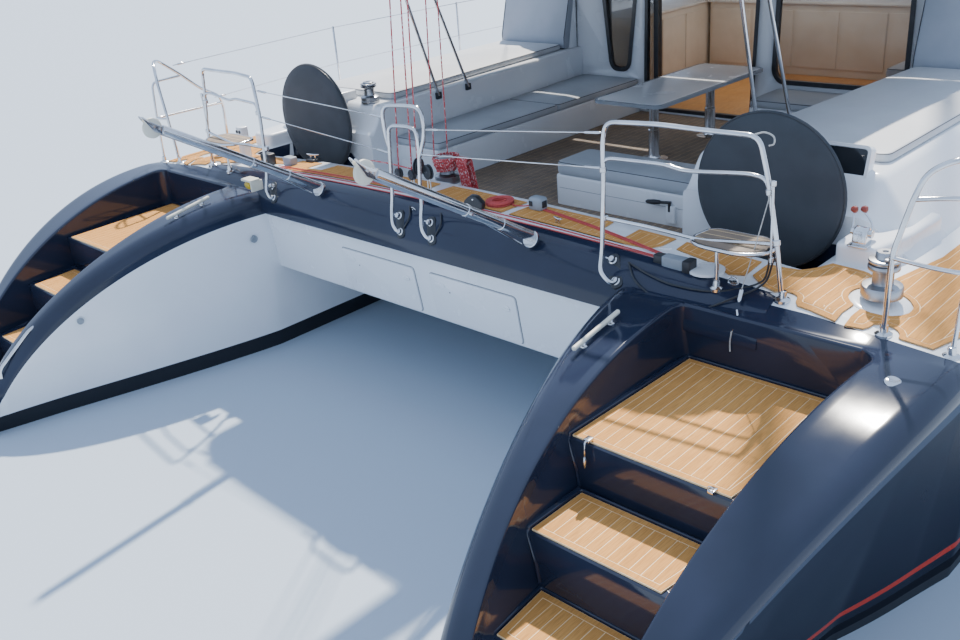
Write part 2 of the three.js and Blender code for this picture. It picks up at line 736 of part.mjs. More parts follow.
function mast() {
  const spreaders = [9200, 14800].flatMap((z, i) => [1, -1].map((side) => rod(
    [0, mastY, z], [side * (1400 - 350 * i), mastY - 500, z + 120], 42, 8, 22)));
  const foot = rod([0, mastY, mastFootZ - 70], [0, mastY, mastFootZ + 30], 230, 16).subtract(
    houseForm(-seatGap, bulkheadY, houseEndY, houseFootZ));
  const ears = [-1, 1].map((side) => block([-45, 45], [pivotY - 45, mastY - 150],
    [gooseneckZ + side * 60 - 15, gooseneckZ + side * 60 + 15]));
  const pin = rod([0, pivotY, gooseneckZ - 70], [0, pivotY, gooseneckZ + 70], pivotRadius, 12);
  return join([mastTube(), ...spreaders, foot, ...ears, pin]);
}

// Boom with the mainsail stowed in its bag. Its eye turns on the pin between the mast's ears.
function boom() {
  const near = pivotY - 150;
  const far = near - boomLength;
  const spar = block([-75, 75], [far, near], [gooseneckZ - 130, gooseneckZ + 130]);
  const ring = (y, half, height) => [
    [-half * 0.6, y, gooseneckZ + 110], [half * 0.6, y, gooseneckZ + 110],
    [half, y, gooseneckZ + 110 + height * 0.5], [half * 0.3, y, gooseneckZ + 110 + height],
    [-half * 0.3, y, gooseneckZ + 110 + height], [-half, y, gooseneckZ + 110 + height * 0.5],
  ];
  const bag = loft([ring(far + 150, 110, 260), ring((near + far) / 2, 210, 480), ring(near - 120, 240, 760)]);
  const eye = rod([0, pivotY, gooseneckZ - 44], [0, pivotY, gooseneckZ + 44], 40, 16);
  const neck = block([-30, 30], [near - 10, pivotY - 10], [gooseneckZ - 44, gooseneckZ + 44]);
  const hole = rod([0, pivotY, gooseneckZ - 100], [0, pivotY, gooseneckZ + 100], pivotRadius + 1, 12);
  return join([spar, bag, join([eye, neck]).subtract(hole)]);
}

// Wire stays that hold the mast up.
const chainX = 3960;
const chainY = 800;

function shroud() {
  const cap = rod([chainX, chainY, deckZ + 60], [60, mastY - 40, 19300], 8, 6).subtract(mastTube(seatGap));
  const foot = rod([chainX, chainY, deckZ - 140], [chainX, chainY, deckZ + 260], 20, 8);
  return onTeak(join([cap, foot]));
}

// Forward crossbeam, bowsprit and net.
const crossbeamY = 6800;
const crossbeamZ = 1640;

function crossbeamTube(grow = 0) {
  return rod([-3000, crossbeamY, crossbeamZ], [3000, crossbeamY, crossbeamZ], 105 + grow, 16);
}

function crossbeam() {
  const hulls = hullForm(seatGap);
  return crossbeamTube().subtract(hulls).subtract(mirrorX(hulls));
}

const bowspritEndY = 9000;

function bowsprit() {
  return rod([0, houseFrontY + 302, 1440], [0, bowspritEndY, 1502], 70, 12).subtract(crossbeamTube(seatGap));
}

const stayFoot = [0, crossbeamY, crossbeamZ + 95];
const stayTop = [0, mastY + 100, 19600];

function furledSail() {
  const a = new THREE.Vector3(...stayFoot);
  const b = new THREE.Vector3(...stayTop);
  const at = (t) => a.clone().lerp(b, t).toArray();
  const wire = rod(at(0), at(1), 9, 8).subtract(mastTube(seatGap)).subtract(crossbeamTube(seatGap));
  const drum = rod(at(0.012), at(0.024), 90, 16);
  const roll = rod(at(0.04), at(0.96), 95, 12, 40);
  return join([wire, drum, roll]);
}

function trampoline() {
  const hulls = hullForm(seatGap);
  const net = block([-2700, 2700], [houseFrontY + 300 + seatGap, crossbeamY - 106], [1600, 1608]);
  return net.subtract(hulls).subtract(mirrorX(hulls));
}

// Stanchions and wires along each side, with the bent rail round the stern quarter.
function guardRail() {
  const edge = (y) => outerAt(y) - 150 - 60 * bowShare(y);
  const posts = [-2000, 150, 2300, 4400, 6300];
  const low = (y) => deckLevel(y) - 200;
  const high = (y) => deckLevel(y) - sideDrop + 1050;
  const feet = posts.map((y) => rod([edge(y), y, low(y)], [edge(y), y, high(y)], 13));
  const quarter = rail([[3767, -4592, deckZ - 140], [3784, -4630, 2119], [3861, -4620, 2441], [3905, -4600, 2560],
    [3970, -4560, 2625], [4090, -4470, 2640], [4150, -4300, 2610], [4150, -4206, 2471], [4150, -3979, 2266],
    [4155, -3760, 2140], [4165, -3720, 2040], [4170, -3740, 1450]], tube);
  const outerLeg = rail([[4135, -4582, 1450], [4150, -4557, 2058], [4150, -4530, 2400], [4150, -4460, 2440],
    [4150, -4200, 2440]], 13);
  const second = rail([[3861, -4620, 2435], [4010, -4560, 2450], [4152, -4470, 2440]], 13);
  const third = rail([[3784, -4630, 2100], [4000, -4610, 2075], [4150, -4556, 2058], [4160, -3740, 2058]], 13);
  const wires = [0, 430].map((down) => rail([
    [4150, -4250 + down, 2560 - down], ...posts.map((y) => [edge(y), y, high(y) - 15 - down])], 6, 6));
  return join([...feet, quarter, outerLeg, second, third, ...wires]).subtract(hullForm(seatGap));
}

// Rudder on its stock.
function rudder() {
  const ring = (z, lead, trail, half) => [
    [0, lead, z], [half, lead * 0.4, z], [half * 0.6, trail * 0.5, z], [6, trail, z],
    [-6, trail, z], [-half * 0.6, trail * 0.5, z], [-half, lead * 0.4, z],
  ];
  const blade = loft([ring(rudderTopZ, 130, -440, 34), ring(-1000, 90, -330, 22)]);
  return join([blade, rod([0, 0, rudderTopZ - 20], [0, 0, stockTopZ], stockRadius, 12)]);
}

// Folding-type propeller with three blades.
function propeller() {
  const hub = rod([0, 0, 0], [0, -130, 0], 44, 12, 26);
  const blades = [0, 1, 2].map((i) => {
    const blade = loft([
      [[-10, -40, 20], [14, -95, 20], [10, -100, 20], [-14, -45, 20]],
      [[-60, -40, 140], [60, -95, 140], [56, -101, 140], [-64, -46, 140]],
      [[-30, -55, 215], [30, -85, 215], [28, -89, 215], [-32, -59, 215]],
    ]);
    return blade.rotate([0, 120 * i, 0]);
  });
  return join([hub, ...blades]);
}

// Awning over the cockpit on four legs.
const awningZ = 3420;
const awningFootZ = coamingZ - 60;
const awningEdge = 40;
const awningRise = 60;
// Columns: y, half width.
const awningEnds = [{ y: -4000, half: 2350 }, { y: bulkheadY - 60, half: 2450 }];
const awningLegs = [
  { footY: -2550, top: [1850, -2970] },
  { footY: -2070, top: [1860, -2620] },
];

function awning() {
  const top = loft(awningEnds.map(({ y, half }) => [
    [-half, y, awningZ - awningEdge], [half, y, awningZ - awningEdge], [half, y, awningZ], [0, y, awningZ + awningRise],
    [-half, y, awningZ],
  ]));
  const legs = awningLegs.map((leg) => {
    const x = coamingInner(leg.footY) - 18;
    return join([
      rod([x, leg.footY, awningFootZ], [leg.top[0], leg.top[1], awningZ - 20], 16),
      block([x - 10, x + 40], [leg.footY - 40, leg.footY + 40], [awningFootZ - 40, awningFootZ + 40]),
    ]).subtract(coamingGrown());
  });
  return join([top, ...legs, ...legs.map(mirrorX)]);
}

// Access panels in the bridgedeck's aft face.
const aftFaceY = (z) => scoopY + 90 * (soleZ - z) / (soleZ - tunnelZ);

function accessPanel(x) {
  const high = soleZ - 158;
  const low = tunnelZ + 35;
  const thick = 15;
  return crosswise([
    [aftFaceY(high) - seatGap, high], [aftFaceY(low) - seatGap, low],
    [aftFaceY(low) - seatGap - thick, low], [aftFaceY(high) - seatGap - thick, high],
  ], x - 465, x + 465);
}

placePair('hull', 'navy', hull());
place('bridgedeck', 'white', bridgedeck());
place('aft_beam', 'navy', aftBeam());
placePair('swim_steps', 'teak', stepsTray());
placePair('teak_deck', 'teak', teakDeck());
placePair('coaming', 'white', coaming());

// Cockpit furniture. The port bench follows the coaming; the starboard one faces aft.
const benchGap = 4;
const benchAftY = -3250;
const benchForeY = coamingForeY;
const portBench = (inset) => [
  [-benchFront - inset, benchAftY + inset], [-benchFront - inset, benchForeY - inset],
  [-coamingInner(benchForeY - inset) + benchGap + inset, benchForeY - inset],
  [-coamingInner(benchAftY + inset) + benchGap + inset, benchAftY + inset],
];
const jointY = -1391;
const jointGap = 8;
const cushionZ = seatZ - cushionThickness;
const starboardBenchX = [240, 1780];
const starboardBenchY = [-3200, -2700];
const forwardSeatX = [600, 1960];
const forwardSeatY = [-480, benchForeY];

function portCushion(aft, fore) {
  const inner = (y) => -coamingInner(y) + benchGap + 8;
  return cushion([[-benchFront - 8, aft], [-benchFront - 8, fore], [inner(fore), fore], [inner(aft), aft]].reverse(),
    cushionZ + seatGap, cushionThickness);
}

place('bench_port', 'white', plate(portBench(0), soleZ + seatGap, cushionZ));
place('bench_cushion_aft', 'cushion', portCushion(benchAftY + 8, jointY - jointGap / 2));
place('bench_cushion_forward', 'cushion', portCushion(jointY + jointGap / 2, benchForeY - 8));
const thickCushionZ = seatZ - thickCushion;
place('bench_starboard', 'white', bench(starboardBenchX, starboardBenchY, thickCushionZ));
place('bench_cushion_starboard', 'cushion', cushion(
  rectangle([starboardBenchX[0] + 8, starboardBenchX[1] - 8], [starboardBenchY[0] + 8, starboardBenchY[1] - 8]),
  thickCushionZ + seatGap, thickCushion));
place('seat_forward', 'cushion', bench(forwardSeatX, forwardSeatY, seatZ + 20));

const padAftY = -3120;
const padForeY = -150;
placePair('sunpad', 'cushion', cushion([
  [coamingInner(padAftY) + 110, padAftY], [coamingTop - 60, padAftY], [coamingTop - 60, padForeY],
  [coamingInner(padForeY) + 110, padForeY],
], coamingZ + seatGap, 70));
placePair('backrest', 'cushion', crosswise([
  [-135, coamingZ + seatGap], [-40 - seatGap, coamingZ + seatGap], [110 - seatGap, 2860], [20, 2860], [-135, 2290],
], coamingForeInner + 60, coamingTop - 60));
place('coachroof', 'white', coachroof());
placePair('side_window', 'glass', paneSkin().intersect(sideWindows(paneShare)));
place('front_window', 'glass', paneSkin().intersect(frontWindows(paneShare)));
place('saloon_bulkhead', 'white', bulkhead());
place('bulkhead_window_port', 'glass', pane(tallWindow));
place('bulkhead_window_starboard', 'glass', pane(wideWindow));
place('door_leaf_outer', 'glass', doorLeaf(outerLeafY));
place('door_leaf_inner', 'glass', doorLeaf(innerLeafY));
place('cockpit_table', 'white', table());
place('steering_wheel_starboard', 'canvas', steeringWheel(), [wheelX, wheelY, wheelZ]);
place('steering_wheel_port', 'canvas', steeringWheel(), [-wheelX, wheelY, wheelZ]);
placePair('helm_pedestal', 'white', pedestal());
place('pushpit_starboard', 'steel', pushpit(1946, 100));
place('pushpit_port', 'steel', mirrorX(pushpit(1882, -110)));
place('stern_hoop', 'steel', sternHoop());
place('davit_port', 'steel', davit(-1192));
place('davit_starboard', 'steel', davit(1268));
const deckWinchAt = [3615, -4257];
place('deck_winch', 'alloy', onTeak(join([
  winch(115, 240).translate([...deckWinchAt, deckZ + 45]),
  rod([...deckWinchAt, deckZ - 30], [...deckWinchAt, deckZ + 46], 195, 24, 130)])));
place('coaming_winch', 'alloy', winch(90, 210), [-2080, -3290, coamingZ + seatGap]);
place('sheet_winch', 'alloy', join([winch(110, 230), rod([0, 0, 1], [0, 0, -300], 150, 16)]),
  [-400, -3900, soleZ + 300 + seatGap]);
place('mast', 'alloy', mast());
place('boom', 'alloy', boom());
placePair('shroud', 'steel', shroud());
place('crossbeam', 'alloy', crossbeam());
place('bowsprit', 'alloy', bowsprit());
place('furled_headsail', 'sail', furledSail());
place('trampoline', 'net', trampoline());
placePair('guard_rail', 'steel', guardRail());
place('rudder_starboard', 'black', rudder(), [rudderX, rudderY, 0]);
place('rudder_port', 'black', rudder(), [-rudderX, rudderY, 0]);
place('propeller_starboard', 'bronze', propeller(), [driveX, shaftEndY - seatGap, shaftZ]);
place('propeller_port', 'bronze', propeller(), [-driveX, shaftEndY - seatGap, shaftZ]);
place('awning', 'canvas', awning());
place('access_panel_port', 'white', accessPanel(-497));
place('access_panel_starboard', 'white', accessPanel(625));

export default boat;
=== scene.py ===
"""Looks of a sailing catamaran afloat: gelcoat, teak, steel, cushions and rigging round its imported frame."""

import bpy
import numpy as np
from mathutils import Matrix, Vector


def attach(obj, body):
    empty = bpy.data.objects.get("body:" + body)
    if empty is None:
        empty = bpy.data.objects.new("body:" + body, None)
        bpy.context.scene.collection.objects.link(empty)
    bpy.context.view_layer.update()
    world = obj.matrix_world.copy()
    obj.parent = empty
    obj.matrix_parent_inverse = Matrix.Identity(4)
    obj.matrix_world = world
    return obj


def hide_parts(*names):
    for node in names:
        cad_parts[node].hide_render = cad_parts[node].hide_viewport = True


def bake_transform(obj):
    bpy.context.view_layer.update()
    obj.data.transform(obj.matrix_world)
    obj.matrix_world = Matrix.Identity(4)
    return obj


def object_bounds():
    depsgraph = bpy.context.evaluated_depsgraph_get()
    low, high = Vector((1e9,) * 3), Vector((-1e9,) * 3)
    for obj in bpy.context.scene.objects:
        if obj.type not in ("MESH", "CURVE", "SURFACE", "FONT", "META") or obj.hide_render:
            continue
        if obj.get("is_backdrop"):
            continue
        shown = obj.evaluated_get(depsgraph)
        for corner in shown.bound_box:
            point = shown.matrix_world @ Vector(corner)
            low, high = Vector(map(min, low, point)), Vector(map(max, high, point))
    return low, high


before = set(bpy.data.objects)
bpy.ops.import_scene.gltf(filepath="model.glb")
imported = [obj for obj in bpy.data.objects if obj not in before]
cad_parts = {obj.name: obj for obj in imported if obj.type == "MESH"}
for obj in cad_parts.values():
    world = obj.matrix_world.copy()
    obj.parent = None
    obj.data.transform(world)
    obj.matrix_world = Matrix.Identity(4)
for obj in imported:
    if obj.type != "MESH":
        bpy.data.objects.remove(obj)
cad_low, cad_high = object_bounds()

# Driving dimensions, in metres, as in the part's own source.
STERN_Y = -7.45
BOW_Y = 8.05
HULL_INNER = 2.032
HULL_OUTER = 4.35
DECK_Z = 1.69
BOW_DECK_Z = 1.85
KEEL_Z = -0.56
SOLE_Z = 1.42
TUNNEL_Z = 0.817
SCOOP_Y = -4.75
SCOOP_RIM_Z = 1.6
WELL_Y = -4.79
DECK_AFT_Y = -4.55
SHEER_START_Y = 3.9
SIDE_DROP = 0.11
CORNER = 0.13
WHEEL = (2.537, -3.654, 2.014)
PLANK = 0.076
CAULK = 0.0056
TEAK = 0.012
MARGIN = 0.048
CAULK_DROP = 0.0014
TUBE = 0.016
PAINT_EDGE = 0.001


def make_camera():
    """Camera at the photograph's viewing angle: yaw to port, pitch down and a slight roll."""
    place = np.array([5.651, -9.608, 4.115])
    yaw, pitch, roll = 0.793, -0.424, -0.084
    ahead = np.array([-np.sin(yaw) * np.cos(pitch), np.cos(yaw) * np.cos(pitch), np.sin(pitch)])
    level = np.array([np.cos(yaw), np.sin(yaw), 0.0])
    upright = np.cross(level, ahead)
    right = np.cos(roll) * level + np.sin(roll) * upright
    up = np.cos(roll) * upright - np.sin(roll) * level
    data = bpy.data.cameras.new("camera")
    data.lens = 36.41
    data.clip_start, data.clip_end = 0.1, 200.0
    camera = bpy.data.objects.new("camera", data)
    bpy.context.scene.collection.objects.link(camera)
    turn = np.column_stack([right, up, -ahead, place])
    camera.matrix_world = Matrix([*turn.tolist(), [0, 0, 0, 1]])
    bpy.context.scene.camera = camera


make_camera()


# Shapes: each builder gives (points, faces), and pieces are put together from them.

def unit(v):
    """Each vector divided by its own length."""
    return v / np.maximum(np.linalg.norm(v, axis=-1, keepdims=True), 1e-12)


def quads(n, m, around):
    """Faces between neighbouring rows of an n by m grid, closed round each row where it goes around."""
    i, j = np.meshgrid(np.arange(n - 1), np.arange(m if around else m - 1), indexing="ij")
    k = (j + 1) % m
    return np.stack([i * m + j, i * m + k, (i + 1) * m + k, (i + 1) * m + j], -1).reshape(-1, 4).tolist()


def outward(points, faces):
    """The same closed surface, its faces turned outwards: its signed tetrahedra add up above zero."""
    fans = [(f[0], f[k], f[k + 1]) for f in faces for k in range(1, len(f) - 1)]
    a, b, c = (points[np.array(fans)[:, k]] for k in range(3))
    if np.einsum("ij,ij->i", a, np.cross(b, c)).sum() < 0:
        faces = [f[::-1] for f in faces]
    return points, faces


def rings(p):
    """A skin over n closed rings of m points, p[n, m, 3], with a flat face at each end."""
    n, m = p.shape[:2]
    ends = [list(range(m))[::-1], list(range((n - 1) * m, n * m))]
    return outward(p.reshape(-1, 3), quads(n, m, True) + ends)


def joined(parts):
    """Several shapes as one."""
    points, faces, start = [], [], 0
    for p, f in parts:
        points.append(p)
        faces += [[i + start for i in face] for face in f]
        start += len(p)
    return np.concatenate(points), faces


def moved(part, at=(0, 0, 0), x=(1, 0, 0), y=(0, 1, 0), z=(0, 0, 1)):
    """The shape with its own axes laid along x, y and z, and its origin put at a place."""
    points, faces = part
    return outward(points @ np.array([x, y, z], float) + np.array(at, float), faces)


def mirrored(part):
    """The shape's mirror image across the centreline."""
    points, faces = part
    return points * [-1, 1, 1], [f[::-1] for f in faces]


def unchanged(part):
    return part


SIDES = (("starboard", unchanged), ("port", mirrored))


def angles(count):
    """Equal steps once round a circle, from 0."""
    return np.linspace(0, 2 * np.pi, count, endpoint=False)


def at_height(outline, z):
    """A flat outline as points in space at one height."""
    return np.column_stack([outline, np.full(len(outline), z)])


def quarter(share):
    """How far a quarter circle has dropped at a share of its run, as a share of its radius."""
    return 1 - np.sqrt(1 - share ** 2)


def eased(share):
    """A way from 0 to 1 that starts and ends level: 3 s squared less 2 s cubed."""
    return share * share * (3 - 2 * share)


def bent(points, bend=0.08, steps=5):
    """A line with each corner rounded: between two marks on its sides it follows a quadratic arc."""
    p = np.array(points, float)
    ahead, behind = p[2:] - p[1:-1], p[:-2] - p[1:-1]
    reach_a = np.minimum(bend, np.linalg.norm(ahead, axis=1) * 0.45)[:, None]
    reach_b = np.minimum(bend, np.linalg.norm(behind, axis=1) * 0.45)[:, None]
    a, b = p[1:-1] + unit(behind) * reach_b, p[1:-1] + unit(ahead) * reach_a
    t = np.linspace(0, 1, steps)[None, :, None]
    arcs = (1 - t) ** 2 * a[:, None] + 2 * t * (1 - t) * p[1:-1, None] + t ** 2 * b[:, None]
    return np.concatenate([p[:1], arcs.reshape(-1, 3), p[-1:]])


def flowing(points, count=60):
    """A smooth line through the points, in cubics: the slope at a point is half its neighbours' step."""
    p = np.array(points, float)
    p = np.concatenate([2 * p[:1] - p[1:2], p, 2 * p[-1:] - p[-2:-1]])
    s = np.linspace(0, len(p) - 3 - 1e-9, count)
    i, t = s.astype(int), (s % 1)[:, None]
    a, b, c, d = p[i], p[i + 1], p[i + 2], p[i + 3]
    return 0.5 * (2 * b + (c - a) * t + (2 * a - 5 * b + 4 * c - d) * t ** 2
                  + (3 * b - a - 3 * c + d) * t ** 3)


def frames(path):
    """Two directions square to the path at each of its points, carried along it without twist."""
    along = unit(np.gradient(path, axis=0))
    side = np.cross(along[0], [0.31, 0.22, 0.92])
    sides = []
    for t in along:
        side = unit(side - t * (side @ t))
        sides.append(side)
    sides = np.array(sides)
    return sides, np.cross(along, sides)


def loop_at(centre, across, up, count=16, back=0.0):
    """An upright ring of points round a place, leaning back as it rises."""
    a = angles(count)
    return np.array(centre) + np.column_stack([across * np.cos(a), -back * np.sin(a), up * np.sin(a)])


def tube(path, radius=TUBE, sides=12):
    """A round tube: at each point of the path, a circle of the radius in the two square directions."""
    path = np.array(path, float)
    radius = np.broadcast_to(radius, len(path))[:, None, None]
    u, v = frames(path)
    a = angles(sides)[None, :, None]
    return rings(path[:, None] + radius * (np.cos(a) * u[:, None] + np.sin(a) * v[:, None]))


def turned(profile, at=(0, 0, 0), axis=(0, 0, 1), sides=28):
    """A turned shape: each (radius, height) of the profile goes once round the axis, between flat discs."""
    r, h = np.array(profile, float).T
    r = np.maximum(r, 1e-4)
    z = unit(np.array(axis, float))
    x = unit(np.cross(z, [0.2, 0.9, 0.4]))
    a = angles(sides)
    ring = np.cos(a)[:, None] * x + np.sin(a)[:, None] * np.cross(z, x)
    return rings(np.array(at, float) + r[:, None, None] * ring[None] + h[:, None, None] * z)


def rounded(outline, radius=0.02, steps=5):
    """A closed outline with its corners rounded by quadratic arcs."""
    p = np.array(outline, float)
    before, after = np.roll(p, 1, 0) - p, np.roll(p, -1, 0) - p
    reach = lambda d: unit(d) * np.minimum(radius, np.linalg.norm(d, axis=1) * 0.45)[:, None]
    t = np.linspace(0, 1, steps)[None, :, None]
    a, b = p + reach(before), p + reach(after)
    return ((1 - t) ** 2 * a[:, None] + 2 * t * (1 - t) * p[:, None] + t ** 2 * b[:, None]).reshape(-1, 2)


def inset(outline, by):
    """A closed outline moved inwards by a distance, each point along the mitre of its two sides."""
    outline = np.array(outline, float)
    before = unit(outline - np.roll(outline, 1, 0))
    after = np.roll(before, -1, 0)
    area = np.cross(outline, np.roll(outline, -1, 0)).sum()
    normals = [np.sign(area) * np.stack([-side[:, 1], side[:, 0]], -1) for side in (before, after)]
    spread = np.maximum(1 + (normals[0] * normals[1]).sum(1), 0.3)[:, None]
    return outline + by * (normals[0] + normals[1]) / spread


def slab(outline, low, high, edge=0.004, steps=3):
    """An outline in x and y raised from low to high, its edges rounded by quarter circles."""
    outline = np.array(outline, float)
    a = np.linspace(0, np.pi / 2, steps + 1)
    cut = edge * (1 - np.sin(a))
    lift = edge * (1 - np.cos(a))
    levels = [(c, low + h) for c, h in zip(cut, lift)]
    levels += [(c, high - h) for c, h in zip(cut[::-1], lift[::-1])]
    return rings(np.array([at_height(inset(outline, c), z) for c, z in levels]))


def rectangle(x0, x1, y0, y1, radius=0.01):
    """Outline of a rectangle with rounded corners."""
    return rounded([[x0, y0], [x1, y0], [x1, y1], [x0, y1]], radius)


def box(low, high, radius=0.01, edge=0.006):
    """A box with rounded corners and edges."""
    return slab(rectangle(low[0], high[0], low[1], high[1], radius), low[2], high[2], edge)


def upright(part):
    """The shape stood up: its y points up and its z points aft."""
    return moved(part, y=(0, 0, 1), z=(0, -1, 0))


def standing(outline, low, high, edge=0.004):
    """An outline in x and z carried from y low to y high."""
    return upright(slab(outline, -high, -low, edge))


def sideways(outline, low, high, edge=0.004, steps=3):
    """An outline in y and z carried from x low to x high."""
    return moved(slab(outline, low, high, edge, steps), x=(0, 1, 0), y=(0, 0, 1), z=(1, 0, 0))


# Finishes.

def node(tree, kind, **inputs):
    """A shader node, its inputs linked to sockets or set to values. In names, _ stands for a space."""
    made = tree.nodes.new(kind)
    for name, value in inputs.items():
        if hasattr(made, name):
            setattr(made, name, value)
            continue
        socket = made.inputs[int(name[1:])] if name[1:].isdigit() else made.inputs[name.replace("_", " ")]
        if isinstance(value, bpy.types.NodeSocket):
            tree.links.new(value, socket)
        else:
            socket.default_value = value
    return made


def rgb(colour):
    return (*colour, 1.0)


def mixed(tree, factor, a, b):
    """Colour a turned towards colour b by a factor."""
    made = tree.nodes.new("ShaderNodeMix")
    made.data_type = "RGBA"
    for socket, value in ((made.inputs[0], factor), (made.inputs[6], a), (made.inputs[7], b)):
        if isinstance(value, bpy.types.NodeSocket):
            tree.links.new(value, socket)
        else:
            socket.default_value = value if isinstance(value, float) else rgb(value)
    return made.outputs[2]


def maths(tree, how, a, b=0.0, c=0.0):
    """One arithmetic step on values."""
    return node(tree, "ShaderNodeMath", operation=how, i0=a, i1=b, i2=c).outputs[0]


def product(tree, first, *others):
    """All the values multiplied together."""
    for other in others:
        first = maths(tree, "MULTIPLY", first, other)
    return first


def between(tree, value, low, high):
    """The value's way from low to high, from 0 to 1."""
    made = node(tree, "ShaderNodeMapRange", Value=value, From_Min=low, From_Max=high)
    made.interpolation_type = "SMOOTHSTEP"
    return made.outputs[0]


def group(name, inputs, outputs):
    """An empty node group with named value inputs and named outputs."""
    tree = bpy.data.node_groups.new(name, "ShaderNodeTree")
    for key, value in inputs.items():
        socket = tree.interface.new_socket(key, in_out="INPUT", socket_type="NodeSocketFloat")
        socket.default_value = value
    for key in outputs:
        tree.interface.new_socket(key, in_out="OUTPUT", socket_type="NodeSocketFloat")
    return tree, tree.nodes.new("NodeGroupInput"), tree.nodes.new("NodeGroupOutput")


def place_of(tree, stretch=(1, 1, 1)):
    """The point's place on the boat, stretched along its axes."""
    where = tree.nodes.new("ShaderNodeTexCoord").outputs["Object"]
    return node(tree, "ShaderNodeMapping", Vector=where, Scale=stretch).outputs[0]


def axes_of(tree):
    """The x, y and z of the point's place on the boat."""
    return node(tree, "ShaderNodeSeparateXYZ", Vector=place_of(tree)).outputs


def carried(tree, name):
    """A value that the piece carries at its points."""
    return node(tree, "ShaderNodeAttribute", attribute_name=name).outputs["Fac"]


def step_at(tree, value, at):
    """0 below a value and 1 above it, with a soft edge."""
    return between(tree, value, at - PAINT_EDGE, at + PAINT_EDGE)


def grain_group():
    """Fine and coarse mottling: Height for a bump, Tone for a shade of colour or gloss."""
    tree, given, out = group("grain", {"Fine": 400.0, "Coarse": 3.0}, ["Height", "Tone"])
    where = place_of(tree)
    fine = node(tree, "ShaderNodeTexNoise", Vector=where, Scale=given.outputs["Fine"], Detail=3.0)
    coarse = node(tree, "ShaderNodeTexNoise", Vector=where, Scale=given.outputs["Coarse"], Detail=4.0)
    tree.links.new(fine.outputs["Fac"], out.inputs["Height"])
    tree.links.new(coarse.outputs["Fac"], out.inputs["Tone"])
    return tree


def plank_group():
    """Teak planks along y: Tone differs from plank to plank, and Grain runs along them in fine streaks."""
    tree, given, out = group("planks", {"Width": PLANK}, ["Tone", "Grain"])
    number = maths(tree, "FLOOR", maths(tree, "DIVIDE", axes_of(tree)[0], given.outputs["Width"]))
    tone = node(tree, "ShaderNodeTexWhiteNoise", noise_dimensions="1D", W=number).outputs["Value"]
    streaks = node(tree, "ShaderNodeTexNoise", Vector=place_of(tree, (190, 9, 190)), Scale=1.0, Detail=5.0)
    tree.links.new(tone, out.inputs["Tone"])
    tree.links.new(streaks.outputs["Fac"], out.inputs["Grain"])
    return tree


def weave_group():
    """Crossed threads: Height is the product of two fine waves, Tone a slow unevenness of the cloth."""
    tree, given, out = group("weave", {"Threads": 900.0}, ["Height", "Tone"])
    x, y, z = axes_of(tree)
    wave = lambda v: maths(tree, "SINE", maths(tree, "MULTIPLY", v, given.outputs["Threads"]))
    crossed = product(tree, wave(maths(tree, "ADD", x, z)), wave(maths(tree, "SUBTRACT", y, z)))
    tree.links.new(crossed, out.inputs["Height"])
    slow = node(tree, "ShaderNodeTexNoise", Vector=place_of(tree), Scale=5.0, Detail=3.0)
    tree.links.new(slow.outputs["Fac"], out.inputs["Tone"])
    return tree


GRAIN, PLANKS, WEAVE = grain_group(), plank_group(), weave_group()


def use(tree, made_group, **values):
    """A node group placed in a material, with its own values."""
    made = tree.nodes.new("ShaderNodeGroup")
    made.node_tree = made_group
    for name, value in values.items():
        made.inputs[name].default_value = value
    return made.outputs


def finish(name, colour=None, height=None, bump=0.1, **sockets):
    """A material: one Principled shader, a colour or a socket for it, and a bump where a height is given."""
    material = bpy.data.materials.new(name)
    material.use_nodes = True
    tree = material.node_tree
    shader = tree.nodes["Principled BSDF"]
    if callable(colour):
        tree.links.new(colour(tree), shader.inputs["Base Color"])
    else:
        shader.inputs["Base Color"].default_value = rgb(colour)
    for key, value in sockets.items():
        socket = shader.inputs[key.replace("_", " ")]
        if callable(value):
            tree.links.new(value(tree), socket)
        else:
            socket.default_value = value
    if height:
        bumped = node(tree, "ShaderNodeBump", Strength=bump, Distance=0.001, Height=height(tree))
        tree.links.new(bumped.outputs[0], shader.inputs["Normal"])
    return material


def grained(fine):
    return lambda tree: use(tree, GRAIN, Fine=fine)["Height"]


def drift(tree, coarse=3.0, pattern=GRAIN):
    """The pattern's tone with its middle range spread from 0 to 1."""
    values = {"Coarse": coarse} if pattern is GRAIN else {}
    return between(tree, use(tree, pattern, **values)["Tone"], 0.35, 0.65)


def mottled(a, b, coarse=3.0):
    """A colour that drifts slowly between a and b."""
    return lambda tree: mixed(tree, drift(tree, coarse), a, b)


def gloss(low, high, coarse=3.0):
    """A roughness that drifts slowly between two values."""
    def build(tree):
        tone = use(tree, GRAIN, Coarse=coarse)["Tone"]
        spread = {"From_Min": 0.3, "From_Max": 0.7, "To_Min": low, "To_Max": high}
        return node(tree, "ShaderNodeMapRange", Value=tone, **spread).outputs[0]
    return build


NAVY = (0.020, 0.027, 0.052)
NAVY_DARK = (0.016, 0.022, 0.042)
# Painted shade and painted reflection of dark water: a darker navy for the hulls' outer sides.
NAVY_PAINTED_SHADE = (0.006, 0.009, 0.020)
WHITE = (0.87, 0.885, 0.90)
WHITE_SHADE = (0.83, 0.85, 0.87)
ANTIFOULING = (0.010, 0.012, 0.018)
BOOT_RED = (0.42, 0.035, 0.022)
BOOT_Z = 0.27
BOOT_WIDTH = 0.045
ANTIFOULING_Z = 0.155
WHITE_EDGE_Y = -4.535
WHITE_DECK_Y = -4.63
NAVY_RIM = 0.10
ARCH_DROP = 0.2005


def two_paints(tree):
    """Navy and white gelcoat, each with its own slow drift of tone."""
    tone = drift(tree, 1.5)
    return mixed(tree, tone, NAVY, NAVY_DARK), mixed(tree, tone, WHITE, WHITE_SHADE)


